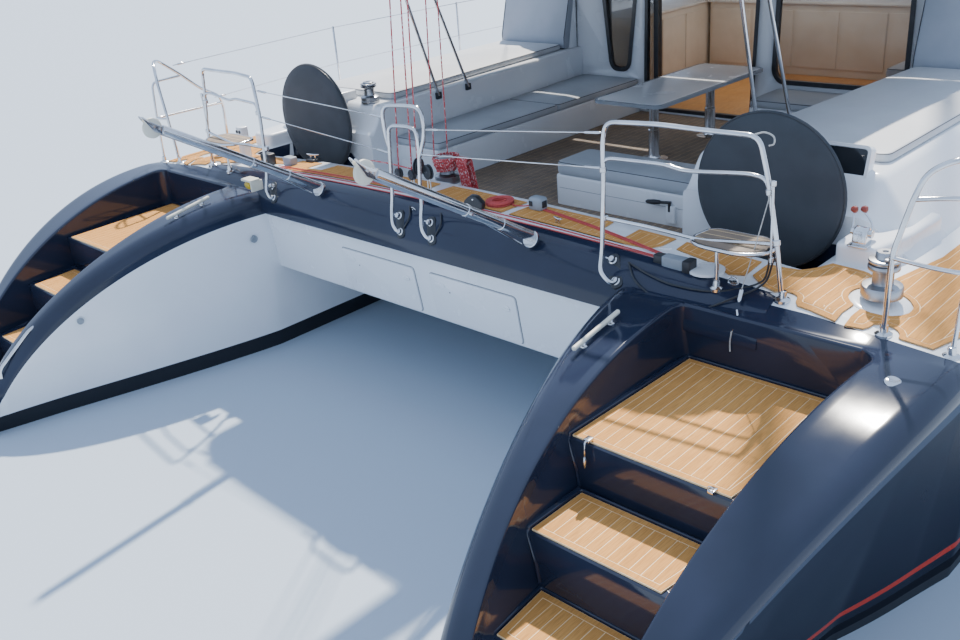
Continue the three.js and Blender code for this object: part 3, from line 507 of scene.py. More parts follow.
def hull_paint(tree):
    """Navy topsides, white inner side below the arch and white deck, black bottom, red stripe outside. The
    outer side gets a darker navy, which is painted shade and a painted reflection of dark water.
    """
    y, z = axes_of(tree)[1:]
    drop = carried(tree, "inner_drop")
    navy, white = two_paints(tree)
    stem = maths(tree, "GREATER_THAN", y, BOW_Y - 0.002)
    aft = maths(tree, "SUBTRACT", 1.0, stem)
    inner = product(tree, step_at(tree, drop, ARCH_DROP), aft)
    colour = mixed(tree, inner, navy, white)
    inboard = between(tree, carried(tree, "beyond_deck"), PAINT_EDGE, -PAINT_EDGE)
    high = maths(tree, "GREATER_THAN", z, DECK_Z - 0.3)
    deck = product(tree, step_at(tree, y, WHITE_DECK_Y), inboard, high, aft)
    colour = mixed(tree, deck, colour, white)
    # Painted shade: the outer side turns to a darker navy that stands for its shade and the dark water it
    # reflects.
    colour = mixed(tree, maths(tree, "LESS_THAN", drop, -0.5), colour, NAVY_PAINTED_SHADE)
    outer = maths(tree, "MAXIMUM", maths(tree, "LESS_THAN", drop, -0.1), stem)
    over = step_at(tree, z, BOOT_Z - BOOT_WIDTH)
    under = between(tree, z, BOOT_Z + PAINT_EDGE, BOOT_Z - PAINT_EDGE)
    colour = mixed(tree, product(tree, over, under, outer), colour, BOOT_RED)
    return mixed(tree, bottom_share(tree, z), colour, ANTIFOULING)


def bottom_share(tree, z):
    """1 where the bottom paint is, and 0 above it."""
    return between(tree, z, ANTIFOULING_Z + PAINT_EDGE, ANTIFOULING_Z - PAINT_EDGE)


def beam_paint(tree):
    """White on the beam's top and forward face, navy on its round aft face."""
    navy, white = two_paints(tree)
    return mixed(tree, step_at(tree, axes_of(tree)[1], WHITE_EDGE_Y), navy, white)


def outer_side(tree, elsewhere, outside):
    """One value on the outer side and another elsewhere."""
    outer = maths(tree, "LESS_THAN", carried(tree, "inner_drop"), -0.5)
    return maths(tree, "MULTIPLY_ADD", outer, outside - elsewhere, elsewhere)


def hull_gloss(tree):
    """Polished above the boot top, dull below it, where the bottom paint starts."""
    bottom = bottom_share(tree, axes_of(tree)[2])
    rough = maths(tree, "MULTIPLY_ADD", bottom, 0.6, gloss(0.07, 0.14, 2.0)(tree))
    return maths(tree, "ADD", rough, outer_side(tree, 0.0, 0.14))


def teak_colour(tree):
    """Brown planks of two tones with dark streaks."""
    planks = use(tree, PLANKS)
    plank = mixed(tree, planks["Tone"], (0.69, 0.335, 0.098), (0.62, 0.29, 0.082))
    return mixed(tree, between(tree, planks["Grain"], 0.38, 0.72), plank, (0.51, 0.23, 0.064))


def teak_height(tree):
    return use(tree, PLANKS)["Grain"]


def weave_height(tree):
    return use(tree, WEAVE)["Height"]


def woven(a, b):
    """A cloth's colour, uneven between a and b."""
    return lambda tree: mixed(tree, drift(tree, pattern=WEAVE), a, b)


def flecked(a, b):
    """A laid rope's colours: short flecks of b that lean across colour a."""
    def build(tree):
        noise = node(tree, "ShaderNodeTexNoise", Vector=place_of(tree, (1.0, 1.0, 0.45)), Scale=110.0,
                     Detail=1.0)
        return mixed(tree, between(tree, noise.outputs["Fac"], 0.57, 0.64), a, b)
    return build


POLISH = {"Coat_Weight": 0.12, "Coat_Roughness": 0.03}
SHEEN = {"Sheen_Weight": 0.25, "Sheen_Roughness": 0.4}
WAXED = {"Coat_Weight": 0.3, "Coat_Roughness": 0.1}
METAL = {"Metallic": 1.0}

# Columns: name, its two colours, how many drifts of tone there are in a metre or so, fineness and strength
# of the bump, lowest and highest roughness, and other settings.
MOTTLED = (
    ("navy_gelcoat", NAVY, NAVY_DARK, 3.0, 60.0, 0.02, (0.07, 0.15), POLISH),
    ("white_gelcoat", WHITE, WHITE_SHADE, 1.5, 90.0, 0.03, (0.18, 0.3), WAXED),
    ("warm_white", (0.80, 0.77, 0.70), (0.72, 0.69, 0.62), 4.0, 300.0, 0.05, (0.3, 0.45), {}),
    ("screen_glass", (0.012, 0.016, 0.022), (0.02, 0.024, 0.03), 2.0, 20.0, 0.02, (0.04, 0.09), {}),
    ("tinted_glass", (0.05, 0.055, 0.06), (0.07, 0.075, 0.08), 1.0, 30.0, 0.01, (0.03, 0.06),
     {"Alpha": 0.24}),
    ("clear_plastic", (0.62, 0.66, 0.70), (0.55, 0.6, 0.65), 5.0, 300.0, 0.05, (0.08, 0.15),
     {"Transmission_Weight": 0.6}),
    ("red_plastic", (0.30, 0.05, 0.03), (0.24, 0.04, 0.03), 9.0, 400.0, 0.1, (0.3, 0.45), {}),
    # Cream plastic for the davit wheels and the lamp's cap, and a painted highlight on the stainless grab
    # bars.
    ("cream_plastic", (0.74, 0.71, 0.60), (0.66, 0.63, 0.52), 9.0, 500.0, 0.1, (0.35, 0.5), {}),
    ("yellow_plastic", (0.62, 0.42, 0.015), (0.50, 0.34, 0.012), 20.0, 300.0, 0.1, (0.25, 0.4), {}),
    ("grey_plastic", (0.30, 0.335, 0.37), (0.25, 0.28, 0.31), 9.0, 400.0, 0.1, (0.4, 0.55), {}),
    ("black_plastic", (0.018, 0.020, 0.024), (0.03, 0.032, 0.036), 12.0, 700.0, 0.15, (0.3, 0.5), {}),
    ("beige_panel", (0.78, 0.70, 0.58), (0.72, 0.64, 0.52), 3.0, 200.0, 0.1, (0.35, 0.5), {}),
    ("caulk", (0.95, 0.69, 0.38), (0.90, 0.63, 0.33), 8.0, 500.0, 0.2, (0.5, 0.7), {}),
    ("steel", (0.74, 0.74, 0.75), (0.62, 0.62, 0.63), 6.0, 300.0, 0.03, (0.10, 0.2, 5.0), METAL),
    ("alloy", (0.42, 0.43, 0.45), (0.33, 0.34, 0.36), 9.0, 600.0, 0.1, (0.25, 0.4, 9.0), METAL),
    ("bronze", (0.42, 0.27, 0.12), (0.30, 0.20, 0.10), 12.0, 300.0, 0.15, (0.3, 0.5), METAL),
    ("antifouling", ANTIFOULING, (0.02, 0.024, 0.03), 6.0, 250.0, 0.3, (0.6, 0.8), {}),
    ("grey_vinyl", (0.48, 0.51, 0.54), (0.42, 0.45, 0.48), 2.0, 500.0, 0.3, (0.42, 0.58), {}),
    ("cream_vinyl", (0.60, 0.61, 0.62), (0.55, 0.56, 0.57), 2.0, 500.0, 0.3, (0.45, 0.6), {}),
    ("slate_vinyl", (0.42, 0.45, 0.50), (0.37, 0.40, 0.45), 2.0, 500.0, 0.3, (0.45, 0.6), {}),
    ("dark_piping", (0.03, 0.036, 0.045), (0.045, 0.05, 0.06), 9.0, 800.0, 0.2, (0.4, 0.55), {}),
)

# Columns: name, colour, height of the bump and its strength, and the shader's settings.
PATTERNED = (
    ("hull_gelcoat", hull_paint, grained(60.0), 0.02,
     {"Roughness": hull_gloss, "Specular_IOR_Level": lambda tree: outer_side(tree, 0.38, 0.05),
      "Coat_Weight": lambda tree: outer_side(tree, 0.12, 0.0), "Coat_Roughness": 0.03}),
    ("beam_gelcoat", beam_paint, grained(60.0), 0.02,
     {"Roughness": gloss(0.07, 0.15), "Specular_IOR_Level": 0.34, **POLISH}),
    ("seam_grey", mottled((0.10, 0.12, 0.14), (0.14, 0.16, 0.18), 5.0), grained(300.0), 0.1,
     {"Roughness": 0.6}),
    ("teak", teak_colour, teak_height, 0.25, {"Roughness": gloss(0.75, 0.85), "Specular_IOR_Level": 0.12}),
    ("oak", teak_colour, teak_height, 0.2, {"Roughness": gloss(0.4, 0.55)}),
    ("grey_teak", mottled((0.26, 0.19, 0.13), (0.20, 0.15, 0.11), 9.0), teak_height, 0.25,
     {"Roughness": gloss(0.6, 0.75)}),
    ("dark_canvas", woven((0.022, 0.029, 0.042), (0.03, 0.038, 0.052)), weave_height, 0.35,
     {"Roughness": 0.85, **SHEEN}),
    ("cover_cloth", woven((0.040, 0.046, 0.055), (0.048, 0.055, 0.065)), weave_height, 0.35,
     {"Roughness": 0.85, **SHEEN}),
    ("sail_cloth", woven((0.70, 0.68, 0.62), (0.62, 0.60, 0.55)), weave_height, 0.25, {"Roughness": 0.75}),
    ("red_rope", mottled((0.62, 0.095, 0.085), (0.52, 0.075, 0.070), 60.0), weave_height, 0.5,
     {"Roughness": 0.8}),
    ("fleck_rope", flecked((0.56, 0.055, 0.060), (0.80, 0.68, 0.66)), weave_height, 0.5,
     {"Roughness": 0.8}),
    ("pale_rope", mottled((0.55, 0.54, 0.50), (0.42, 0.41, 0.39), 40.0), weave_height, 0.5,
     {"Roughness": 0.8}),
)
FINISHES = {name: finish(name, mottled(light, dark, coarse), grained(fine), bump, Roughness=gloss(*rough),
                         **more)
            for name, light, dark, coarse, fine, bump, rough, more in MOTTLED}
FINISHES.update({name: finish(name, colour, height, bump, **more)
                 for name, colour, height, bump, more in PATTERNED})


def add(name, part, look, body="boat", slot=None, replaces=(), sharp=32.0):
    """Puts a shape into the scene as one piece, on a body, or on none where no body is given."""
    points, faces = part
    data = bpy.data.meshes.new(name)
    data.from_pydata(points.tolist(), [], faces)
    data.polygons.foreach_set("use_smooth", np.ones(len(faces), bool))
    data.set_sharp_from_angle(angle=np.radians(sharp))
    data.materials.append(FINISHES[look])
    data.update()
    piece = bpy.data.objects.new(name, data)
    bpy.context.scene.collection.objects.link(piece)
    if body:
        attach(piece, body)
    if replaces:
        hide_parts(*replaces)
    return piece


def add_steel(name, parts, **more):
    return add(name, joined(parts), "steel", slot="stainless", **more)


def add_pair(name, part, look, slot=None, node_name=None, **more):
    """A piece to starboard and its mirror image to port."""
    made = []
    for side, flip in SIDES:
        nodes = [f"{node_name}_{side}"] if node_name else []
        made.append(add(f"{name}_{side}", flip(part), look, slot=slot, replaces=nodes, **more))
    return made


# Hull form, starboard, as functions of y. These give arrays for arrays.

INNER_CREST = 2.72
OUTER_CREST = 2.56
LOWEST_CREST = 0.08
KNEE_SHARE = 0.58
INNER_AFT_SWEEP = 0.7
INNER_BOW_SWEEP = 1.0
OUTER_AFT_SWEEP = 0.66
OUTER_BOW_SWEEP = 1.06


def aft_share(y):
    return np.clip((SCOOP_Y - y) / (SCOOP_Y - STERN_Y), 0, 1)


def bow_share(y):
    return np.clip(y / BOW_Y, 0, 1)


def inner_at(y):
    return HULL_INNER + INNER_AFT_SWEEP * aft_share(y) ** 1.2 + INNER_BOW_SWEEP * bow_share(y) ** 2.2


def outer_at(y):
    """The outer side: it draws in a little ahead of the stern, and then to the stern and to the bow."""
    narrowing = 0.06 * np.clip((-3.0 - y) / 1.75, 0, 1)
    return (HULL_OUTER - narrowing - OUTER_AFT_SWEEP * aft_share(y) ** 1.8
            - OUTER_BOW_SWEEP * bow_share(y) ** 2.2)


def crest(y, length):
    """Height of the scoop walls: a long round curve from the rim down to the water."""
    t = np.clip((SCOOP_Y - y) / length, 0, 0.999)
    return SCOOP_RIM_Z * (1 - t ** 2) ** 0.62


def deck_level(y):
    rise = np.clip((y - SHEER_START_Y) / (BOW_Y - SHEER_START_Y), 0, 1)
    return DECK_Z + (BOW_DECK_Z - DECK_Z) * rise ** 1.5


def rim_levels(y):
    """Heights of the deck edge inboard and outboard, before their rounding."""
    up = np.clip((y - SCOOP_Y) / (DECK_AFT_Y - SCOOP_Y), 0, 1)
    ahead = SCOOP_RIM_Z + (deck_level(y) - SCOOP_RIM_Z) * up
    drop = SIDE_DROP * up * (1 - bow_share(y))
    inner = np.where(y < SCOOP_Y, np.maximum(crest(y, INNER_CREST), LOWEST_CREST + 0.01), ahead)
    outer = np.where(y < SCOOP_Y, np.maximum(crest(y, OUTER_CREST), LOWEST_CREST), ahead - drop)
    return inner, outer


def corner_at(y):
    inner, outer = rim_levels(y)
    return np.minimum(np.minimum(CORNER, (outer_at(y) - inner_at(y)) * 0.4), np.minimum(inner, outer) * 0.7)


def top_at(x, y):
    """Height of the hull's upper surface: flat to the knee, then falling to the side, with round edges."""
    inner_z, outer_z = rim_levels(y)
    a, b, r = inner_at(y), outer_at(y), corner_at(y)
    knee = a + (b - a) * KNEE_SHARE
    start = np.where(y < SCOOP_Y, a + r, knee)
    base = inner_z + (outer_z - inner_z) * np.clip((x - start) / (b - r - start), 0, 1)
    into = np.clip(np.maximum(a + r - x, x - (b - r)) / r, 0, 1)
    return base - r * quarter(into)


# Columns: edges of each tread in y, its top, and its inner and outer x at the forward and the aft edge.
STEPS = (
    {"forward": -4.818, "aft": -5.975, "top": 1.242, "fore": (2.655, 3.715), "back": (2.632, 3.630)},
    {"forward": -6.045, "aft": -6.465, "top": 0.928, "fore": (2.733, 3.605), "back": (2.728, 3.545)},
    {"forward": -6.500, "aft": -6.895, "top": 0.564, "fore": (2.795, 3.545), "back": (2.832, 3.500)},
    {"forward": -6.930, "aft": -7.330, "top": 0.215, "fore": (2.865, 3.490), "back": (2.985, 3.450)},
)
TRAY = 0.042
WELL_CORNER = 0.10
WELL_EDGE = 0.022
WALL_LEAN = 0.18
TREAD_END = 0.005


def well_inner(y):
    return 2.56 + 0.43 * aft_share(y) ** 2.8


def well_outer(y):
    return 3.83 - 0.27 * aft_share(y)


def well_sides(y):
    """The well's two walls. Near its forward end each draws in by a quarter circle."""
    back = np.clip((WELL_Y - y) / WELL_CORNER, 0, 1)
    draw = WELL_CORNER * quarter(1 - back)
    return well_inner(y) + draw * 0.4, well_outer(y) - draw


def step_level(y):
    """Top of the step at y."""
    level = np.full_like(y, STEPS[-1]["top"])
    for step in STEPS[-2::-1]:
        level = np.where(y > step["aft"] - TREAD_END, step["top"], level)
    return level


def well_lip(x, y):
    """How far the skin is drawn down beside the well's opening: a quarter circle over the lip's width."""
    left, right = well_sides(np.minimum(y, WELL_Y))
    aside = np.maximum(np.maximum(left - x, x - right), 0)
    ahead = np.maximum(y - WELL_Y, 0)
    into = np.clip(1 - np.sqrt(aside ** 2 + ahead ** 2) / WELL_EDGE, 0, 1)
    return WELL_EDGE * quarter(into)


def flare_at(y):
    """How far the outer side leans in from the rim to the bottom: more towards the stern."""
    width = outer_at(y) - inner_at(y)
    lean = 0.08 + 0.25 * np.clip((-4.35 - y) / 1.0, 0, 1) - 0.16 * np.clip((-6.2 - y) / 1.2, 0, 1)
    ahead = np.clip((y + 3.0) / 4.0, 0, 1)
    return lean + (0.1 * width * (1 - 0.4 * bow_share(y)) - lean) * ahead


def stations():
    """Places in y where the hull is cut across: closer at the treads' ends, the well's end and its lip."""
    ends = np.array([s["aft"] - TREAD_END for s in STEPS[:-1]])
    round_end = WELL_Y - WELL_CORNER * (1 - np.cos(np.linspace(0.0, np.pi / 2, 9)))
    lip = WELL_Y + WELL_EDGE * np.array([0.02, 0.08, 0.2, 0.4, 0.65, 1.0])
    places = np.concatenate([
        np.linspace(STERN_Y, -6.9, 26), np.linspace(-6.9, WELL_Y - WELL_CORNER, 56), round_end,
        ends + 0.0005, ends - 0.0005, lip, np.linspace(-4.76, -4.2, 30),
        np.linspace(-4.5, 0, 40), np.linspace(0, BOW_Y - 0.4, 50), np.linspace(BOW_Y - 0.4, BOW_Y, 12)])
    return np.unique(np.round(places, 5))[:, None]


def stretch(x0, x1, power, count, flip=False):
    """Rows of x between two ends: closer together near the first, or near the second where it is flipped."""
    q = np.linspace(0, 1, count)[None, :]
    q = 1 - (1 - q) ** power if flip else q ** power
    return x0 + (x1 - x0) * q


def skin_at(x, y):
    """The hull's upper surface with the lip of the well drawn down."""
    return top_at(x, y) - well_lip(x, y)


def well_ends(y):
    """Inner and outer x of the well, and where it is open. Ahead of it they keep off the deck's edges."""
    a, b, r = inner_at(y), outer_at(y), corner_at(y)
    left, right = well_sides(np.minimum(y, WELL_Y))
    is_open = y <= WELL_Y + 1e-6
    left = np.where(is_open, np.maximum(left, a + 0.05), np.minimum(np.maximum(left, a + r), b - r))
    right = np.where(is_open, right, np.maximum(np.minimum(right, b - r), left + 0.01))
    return left, right, is_open


def well_section(y, left, right, is_open):
    """Down the well's inner wall, over its floor and up its outer wall. Ahead of it, along the deck."""
    edge_a, edge_b = skin_at(left, y), skin_at(right, y)
    floor = np.minimum(step_level(y) - TRAY - 0.02, np.minimum(edge_a, edge_b) - 0.01)
    down = np.linspace(0, 1, 9)[None, 1:]
    down_z, up_z = edge_a + (floor - edge_a) * down, floor + (edge_b - floor) * down
    lean = WALL_LEAN * np.maximum(top_at(left, y) - 0.12 - down_z, 0)
    floor_x = stretch(left + lean[:, -1:], right, 1.0, 8)[:, 1:-1]
    cut_x = np.concatenate([left + lean, floor_x, right + 0 * down], 1)
    cut_z = np.concatenate([down_z, floor + 0 * floor_x, up_z], 1)
    deck_x = stretch(left, right, 1.0, 24)[:, 1:-1]
    return np.where(is_open, cut_x, deck_x), np.where(is_open, cut_z, skin_at(deck_x, y))


def bottom_section(y, low_a, low_b):
    """The bottom: half an ellipse with a flattened foot, shallower towards the stern and the bow."""
    t = np.linspace(0, np.pi, 26)[None, :-1]
    run = np.clip((-2.5 - y) / (-2.5 - STERN_Y), 0, 1)
    depth = KEEL_Z * (1 - 0.93 * run ** 1.5) * (1 - 0.35 * bow_share(y) ** 3)
    return (low_a + low_b) / 2 + (low_b - low_a) / 2 * np.cos(t), depth * np.sin(t) ** 0.8


def hull_shape():
    """Closed sections along y: inner side, arch top, well wall, well floor, well wall, rim, outer side,
    bottom. inner_drop is each point's depth below the arch's top on the inner side, and below zero outside.
    beyond_deck is how far it lies outboard of the white deck's edge."""
    y = stations()
    a, b, r = inner_at(y), outer_at(y), corner_at(y)
    inner_z, outer_z = rim_levels(y)
    left, right, is_open = well_ends(y)
    bow = bow_share(y)
    low_a, low_b = a + np.minimum(0.08 * (b - a) * (1 - 0.4 * bow), 0.11), b - flare_at(y)
    turn = np.sin(np.linspace(0, np.pi / 2, 6))[None, 1:]
    up = np.linspace(0, 1, 10)[None, :-1]
    arch = np.concatenate([stretch(a, left - WELL_EDGE, 2.2, 14), left - WELL_EDGE + WELL_EDGE * turn], 1)
    rim = np.concatenate([right + WELL_EDGE - WELL_EDGE * turn[:, ::-1],
                          stretch(right + WELL_EDGE, b, 2.2, 18, flip=True)], 1)
    parts = [
        (low_a + (a - low_a) * up, up * (inner_z - r)),
        (arch, skin_at(arch, y)),
        well_section(y, left, right, is_open),
        (rim, skin_at(rim, y)),
        (b + (low_b - b) * up, (outer_z - r) * (1 - up)),
        bottom_section(y, low_a, low_b),
    ]
    x, z = (np.concatenate(rows, 1) for rows in zip(*parts))
    _, arch_end, _, rim_end, outer_end, _ = np.cumsum([row.shape[1] for row, _ in parts])
    drop = np.zeros_like(x)
    drop[:, :arch_end] = (inner_z - z[:, :arch_end]) / np.maximum(0.45 + 0.55 * inner_z / SCOOP_RIM_Z, 0.4)
    drop[:, rim_end:outer_end] = -1.0
    beyond = x - (b - NAVY_RIM * (1 - 0.6 * bow))
    shape = rings(np.stack([x, y + 0 * x, z], -1))
    return shape, {"inner_drop": drop, "beyond_deck": beyond}


def tread_outline(step):
    """The tread's four corners between the well's walls."""
    (a, b), (c, d) = step["back"], step["fore"]
    return np.array([[a, step["aft"]], [b, step["aft"]], [d, step["forward"]], [c, step["forward"]]])


# Deck level things: what lies on the beam and the decks follows their camber.

BEAM_HALF = 3.1
BEAM_FORE_Y = -4.1
BEAM_EDGE_Y = -4.5
BEAM_REACH = 0.3
FOOTWELL_X = 3.09
FOOTWELL_Y = (BEAM_FORE_Y, -3.574)


def beam_top(x):
    """The beam's top: highest amidships, and lower by the square of the way out."""
    return 1.8 - 0.11 * (x / BEAM_HALF) ** 2


def deck_height(x, y):
    """The beam's top where it lies over the hull, and the hull's deck elsewhere."""
    deck = top_at(np.abs(x), y)
    return np.where((np.abs(x) < BEAM_HALF) & (y < BEAM_FORE_Y), np.maximum(beam_top(x), deck), deck)


def draped(part, surface):
    """The shape lifted onto a surface, given as height over x and y."""
    points, faces = part
    lift = surface(points[:, 0], points[:, 1])
    return points + np.column_stack([0 * lift, 0 * lift, lift]), faces


def arc(centre, radius, start, end, count=12):
    """Points on a circle in x and y, between two angles in degrees."""
    a = np.radians(np.linspace(start, end, count))
    return [[centre[0] + radius * c, centre[1] + radius * s] for c, s in zip(np.cos(a), np.sin(a))]


def crossings(ring, x):
    """Where a closed outline crosses the line at x, in rising y."""
    p, q = ring, np.roll(ring, -1, 0)
    hit = (p[:, 0] - x) * (q[:, 0] - x) < 0
    return np.sort(p[hit, 1] + (x - p[hit, 0]) / (q[hit, 0] - p[hit, 0]) * (q[hit, 1] - p[hit, 1]))


def ring_strip(outer, inner, low, high):
    """A flat strip between two closed outlines with the same number of points."""
    levels = [(outer, low), (outer, high), (inner, high), (inner, low)]
    loop = np.stack([at_height(outline, z) for outline, z in levels], 1)
    return outward(loop.reshape(-1, 3), quads(len(outer) + 1, 4, True)[:-4] + closing(len(outer), 4))


def closing(n, m):
    """Faces from the last row of an n by m grid back to its first."""
    return [[(n - 1) * m + k, (n - 1) * m + (k + 1) % m, (k + 1) % m, k] for k in range(m)]


def planked(outline, border=MARGIN, gap=CAULK, high=TEAK, width=PLANK, step=0.12, lean=0.0):
    """Planks along y inside a margin plank that follows the outline. A plank is a strip whose ends lie
    where its long edges cross the margin's inner edge, and it is split into finer strips where that edge
    turns inside it."""
    outline = dense(np.array(outline, float), step)
    outline[:, 0] -= lean * outline[:, 1]
    parts = [ring_strip(outline, inset(outline, border), 0.0, high)]
    ring = inset(outline, border + gap)

    def strips(a, b):
        """The strip from a to b with its ends in y, halved where its middle leaves the straight line."""
        ya, yb, middle = crossings(ring, a), crossings(ring, b), crossings(ring, (a + b) / 2)
        alike = len(ya) == len(yb) == len(middle)
        if alike and (len(ya) == 0 or np.abs(middle - (ya + yb) / 2).max() < 0.0015):
            return [(a, b, ya, yb)]
        if b - a < 0.004:
            return [(a, b, ya, yb) if alike else (a, b, middle, middle)]
        return strips(a, (a + b) / 2) + strips((a + b) / 2, b)

    left, right = ring[:, 0].min() + 0.0005, ring[:, 0].max() - 0.0005
    for start in np.arange(left, right, width):
        end = min(start + width - gap, right)
        for a, b, ya, yb in strips(start, end) if end - start > 0.006 else []:
            for k in range(0, len(ya) - 1, 2):
                t = np.linspace(0, 1, max(2, int((ya[k + 1] - ya[k]) / step) + 2))
                y_left, y_right = ya[k] + (ya[k + 1] - ya[k]) * t, yb[k] + (yb[k + 1] - yb[k]) * t
                rows = [(a, y_left, 0.0), (b, y_right, 0.0), (b, y_right, high), (a, y_left, high)]
                corners = [np.column_stack([0 * t + x, y, 0 * t + z]) for x, y, z in rows]
                parts.append(rings(np.stack(corners, 1)))
    points, faces = joined(parts)
    points[:, 0] += lean * points[:, 1]
    return points, faces


def dense(outline, step):
    """A closed outline with further points on its long sides."""
    ends = np.roll(outline, -1, 0)
    parts = []
    for p, q in zip(outline, ends):
        count = max(1, int(np.linalg.norm(q - p) / step))
        parts.append(p + (q - p) * np.linspace(0, 1, count, endpoint=False)[:, None])
    return np.concatenate(parts)


def teak_field(outline, surface, grow=0.0, **more):
    """Planks and the pale caulking that shows between them, and round them where it grows."""
    planks = draped(planked(outline, **more), surface)
    below = {**more, "high": more.get("high", TEAK) - CAULK_DROP, "border": more.get("border", MARGIN) + grow}
    return planks, draped(planked(inset(outline, -grow), gap=0.0, **below), surface)


def add_beam():
    """The aft beam: an upright forward face, a cambered top, and a quarter of an ellipse as aft face."""
    x = np.linspace(-BEAM_HALF, BEAM_HALF, 90)[:, None]
    top = beam_top(x)
    a = np.linspace(0, np.pi / 2, 18)[None, :]
    flat_y = BEAM_FORE_Y - np.array([[0, 0, 0.004, 0.015, 0.2]]) + 0 * x
    flat_z = np.concatenate([0 * x + SOLE_Z, top - 0.015, top - 0.004, top, top], 1)
    y = np.concatenate([flat_y, BEAM_EDGE_Y - BEAM_REACH * np.sin(a) + 0 * x], 1)
    z = np.concatenate([flat_z, SOLE_Z + (top - SOLE_Z) * np.cos(a)], 1)
    add("beam_skin", rings(np.stack([x + 0 * y, y, z], -1)), "beam_gelcoat", slot="navy_gelcoat",
        replaces=["aft_beam"])


SLOT_X = (3.50, 3.56)
WINCH = (3.606, -4.257)
WINCH_MARGIN = 0.182
FOOT_MARGIN = 0.085
RAIL_FEET = {"inner": (3.143, -4.574), "middle": (3.767, -4.592), "outer": (4.135, -4.582)}

BEAM_TEAK = (
    [(-0.05, -4.175), (0.772, -4.175), (0.762, -4.468), (-0.075, -4.468)],
    [(0.855, -4.178), (1.595, -4.166), (1.612, -4.352), (1.838, -4.362), (1.830, -4.178), (2.135, -4.178),
     (2.130, -4.340), (2.080, -4.440), (1.900, -4.468), (0.840, -4.468)],
    [(2.225, -4.183), (2.785, -4.172), (2.810, -4.430), (2.720, -4.480), (2.630, -4.430), (2.545, -4.385),
     (2.440, -4.372), (2.240, -4.335)],
)
PORT_TEAK = [(-0.200, -4.175), (-0.772, -4.175), (-0.790, -4.468), (-0.190, -4.468)]
SOLE_TEAK = (
    [(-1.165, -4.075), (1.765, -4.075), (1.765, -3.72), (2.0, 0.13), (-1.165, 0.13)],
    [(1.80, -4.075), (3.04, -4.075), (3.06, -3.62), (1.80, -3.62)],
)


def deck_outlines():
    """The deck's teak in two fields, parted by the slot and cut round for the winch and the rail's feet."""
    winch = lambda start, end: arc(WINCH, WINCH_MARGIN, start, end)
    inner = [(2.850, -4.405), (2.838, -4.190), (2.950, -4.172), (3.040, -4.140), (3.105, -4.040),
             (3.150, -3.925), (3.400, -3.950), (3.500, -4.000), *winch(118, 238), (SLOT_X[0], -4.630),
             (3.250, -4.600), *arc(RAIL_FEET["inner"], FOOT_MARGIN, 0, 150, 8), (2.970, -4.500)]
    outer = [(SLOT_X[1], -4.640), *winch(-104, 105), (3.545, -3.930), (3.640, -3.380), (3.720, 1.900),
             (4.080, 1.900), (4.150, 0.000), (4.130, -3.000), (4.110, -4.300), (4.040, -4.590),
             (3.870, -4.600), *arc(RAIL_FEET["middle"], FOOT_MARGIN, 0, 178, 8), (3.660, -4.620)]
    return inner, outer


def level_at(z):
    """A flat surface for teak."""
    return lambda x, y: z + 0 * x


def mirrored_field(field):
    return tuple(mirrored(part) for part in field)


def layers(fields):
    """All the planks of several fields as one shape, and all their caulking as another."""
    return [joined(parts) for parts in zip(*fields)]


def add_teak():
    """Teak on the side decks, on the beam and on the cockpit's sole."""
    planks, caulk = layers([teak_field(o, deck_height, border=0.034, step=0.04) for o in deck_outlines()])
    add_pair("deck_teak", planks, "teak", slot="teak_deck", node_name="teak_deck")
    add_pair("deck_caulk", caulk, "caulk")
    beam = [teak_field(o, lambda x, y: beam_top(x), border=0.03, high=0.008) for o in (*BEAM_TEAK, PORT_TEAK)]
    middle, starboard, port = beam[:1], beam[1:-1], beam[-1:]
    planks, caulk = layers([*middle, *starboard, *[mirrored_field(field) for field in starboard], *port])
    add("beam_teak", planks, "teak", slot="teak_deck")
    add("beam_caulk", caulk, "caulk")
    sole = [teak_field(o, level_at(SOLE_Z), high=0.01) for o in SOLE_TEAK]
    planks, caulk = layers([*sole, mirrored_field(sole[1])])
    add("sole_teak", planks, "grey_teak", slot="teak_deck")
    add("sole_caulk", caulk, "caulk")


def curb(step, base):
    """A raised rounded strip beside the tread's inner edge that turns along its forward edge, and runs down
    the riser's inner edge at its aft end."""
    back, (fore, right) = step["back"][0], step["fore"]
    y_aft, y_fore = step["aft"] - 0.016, step["forward"] + 0.008
    ring = [(back - 0.046, y_aft), (fore - 0.050, y_fore + 0.018), (right + 0.2, y_fore + 0.018),
            (right + 0.2, y_fore), (fore - 0.010, y_fore), (back - 0.010, y_aft)]
    strip = slab(rounded(ring, 0.014, 5), base - 0.01, base + 0.026, 0.007, 4)
    down = tube(bent([(back - 0.028, y_aft + 0.06, base + 0.004),
                      (back - 0.028, y_aft - 0.004, base + 0.004),
                      (back + 0.030, y_aft - 0.004, base - 0.20),
                      (back + 0.045, y_aft - 0.004, base - 0.31)], 0.03, 6), 0.012, 10)
    return [strip, down]


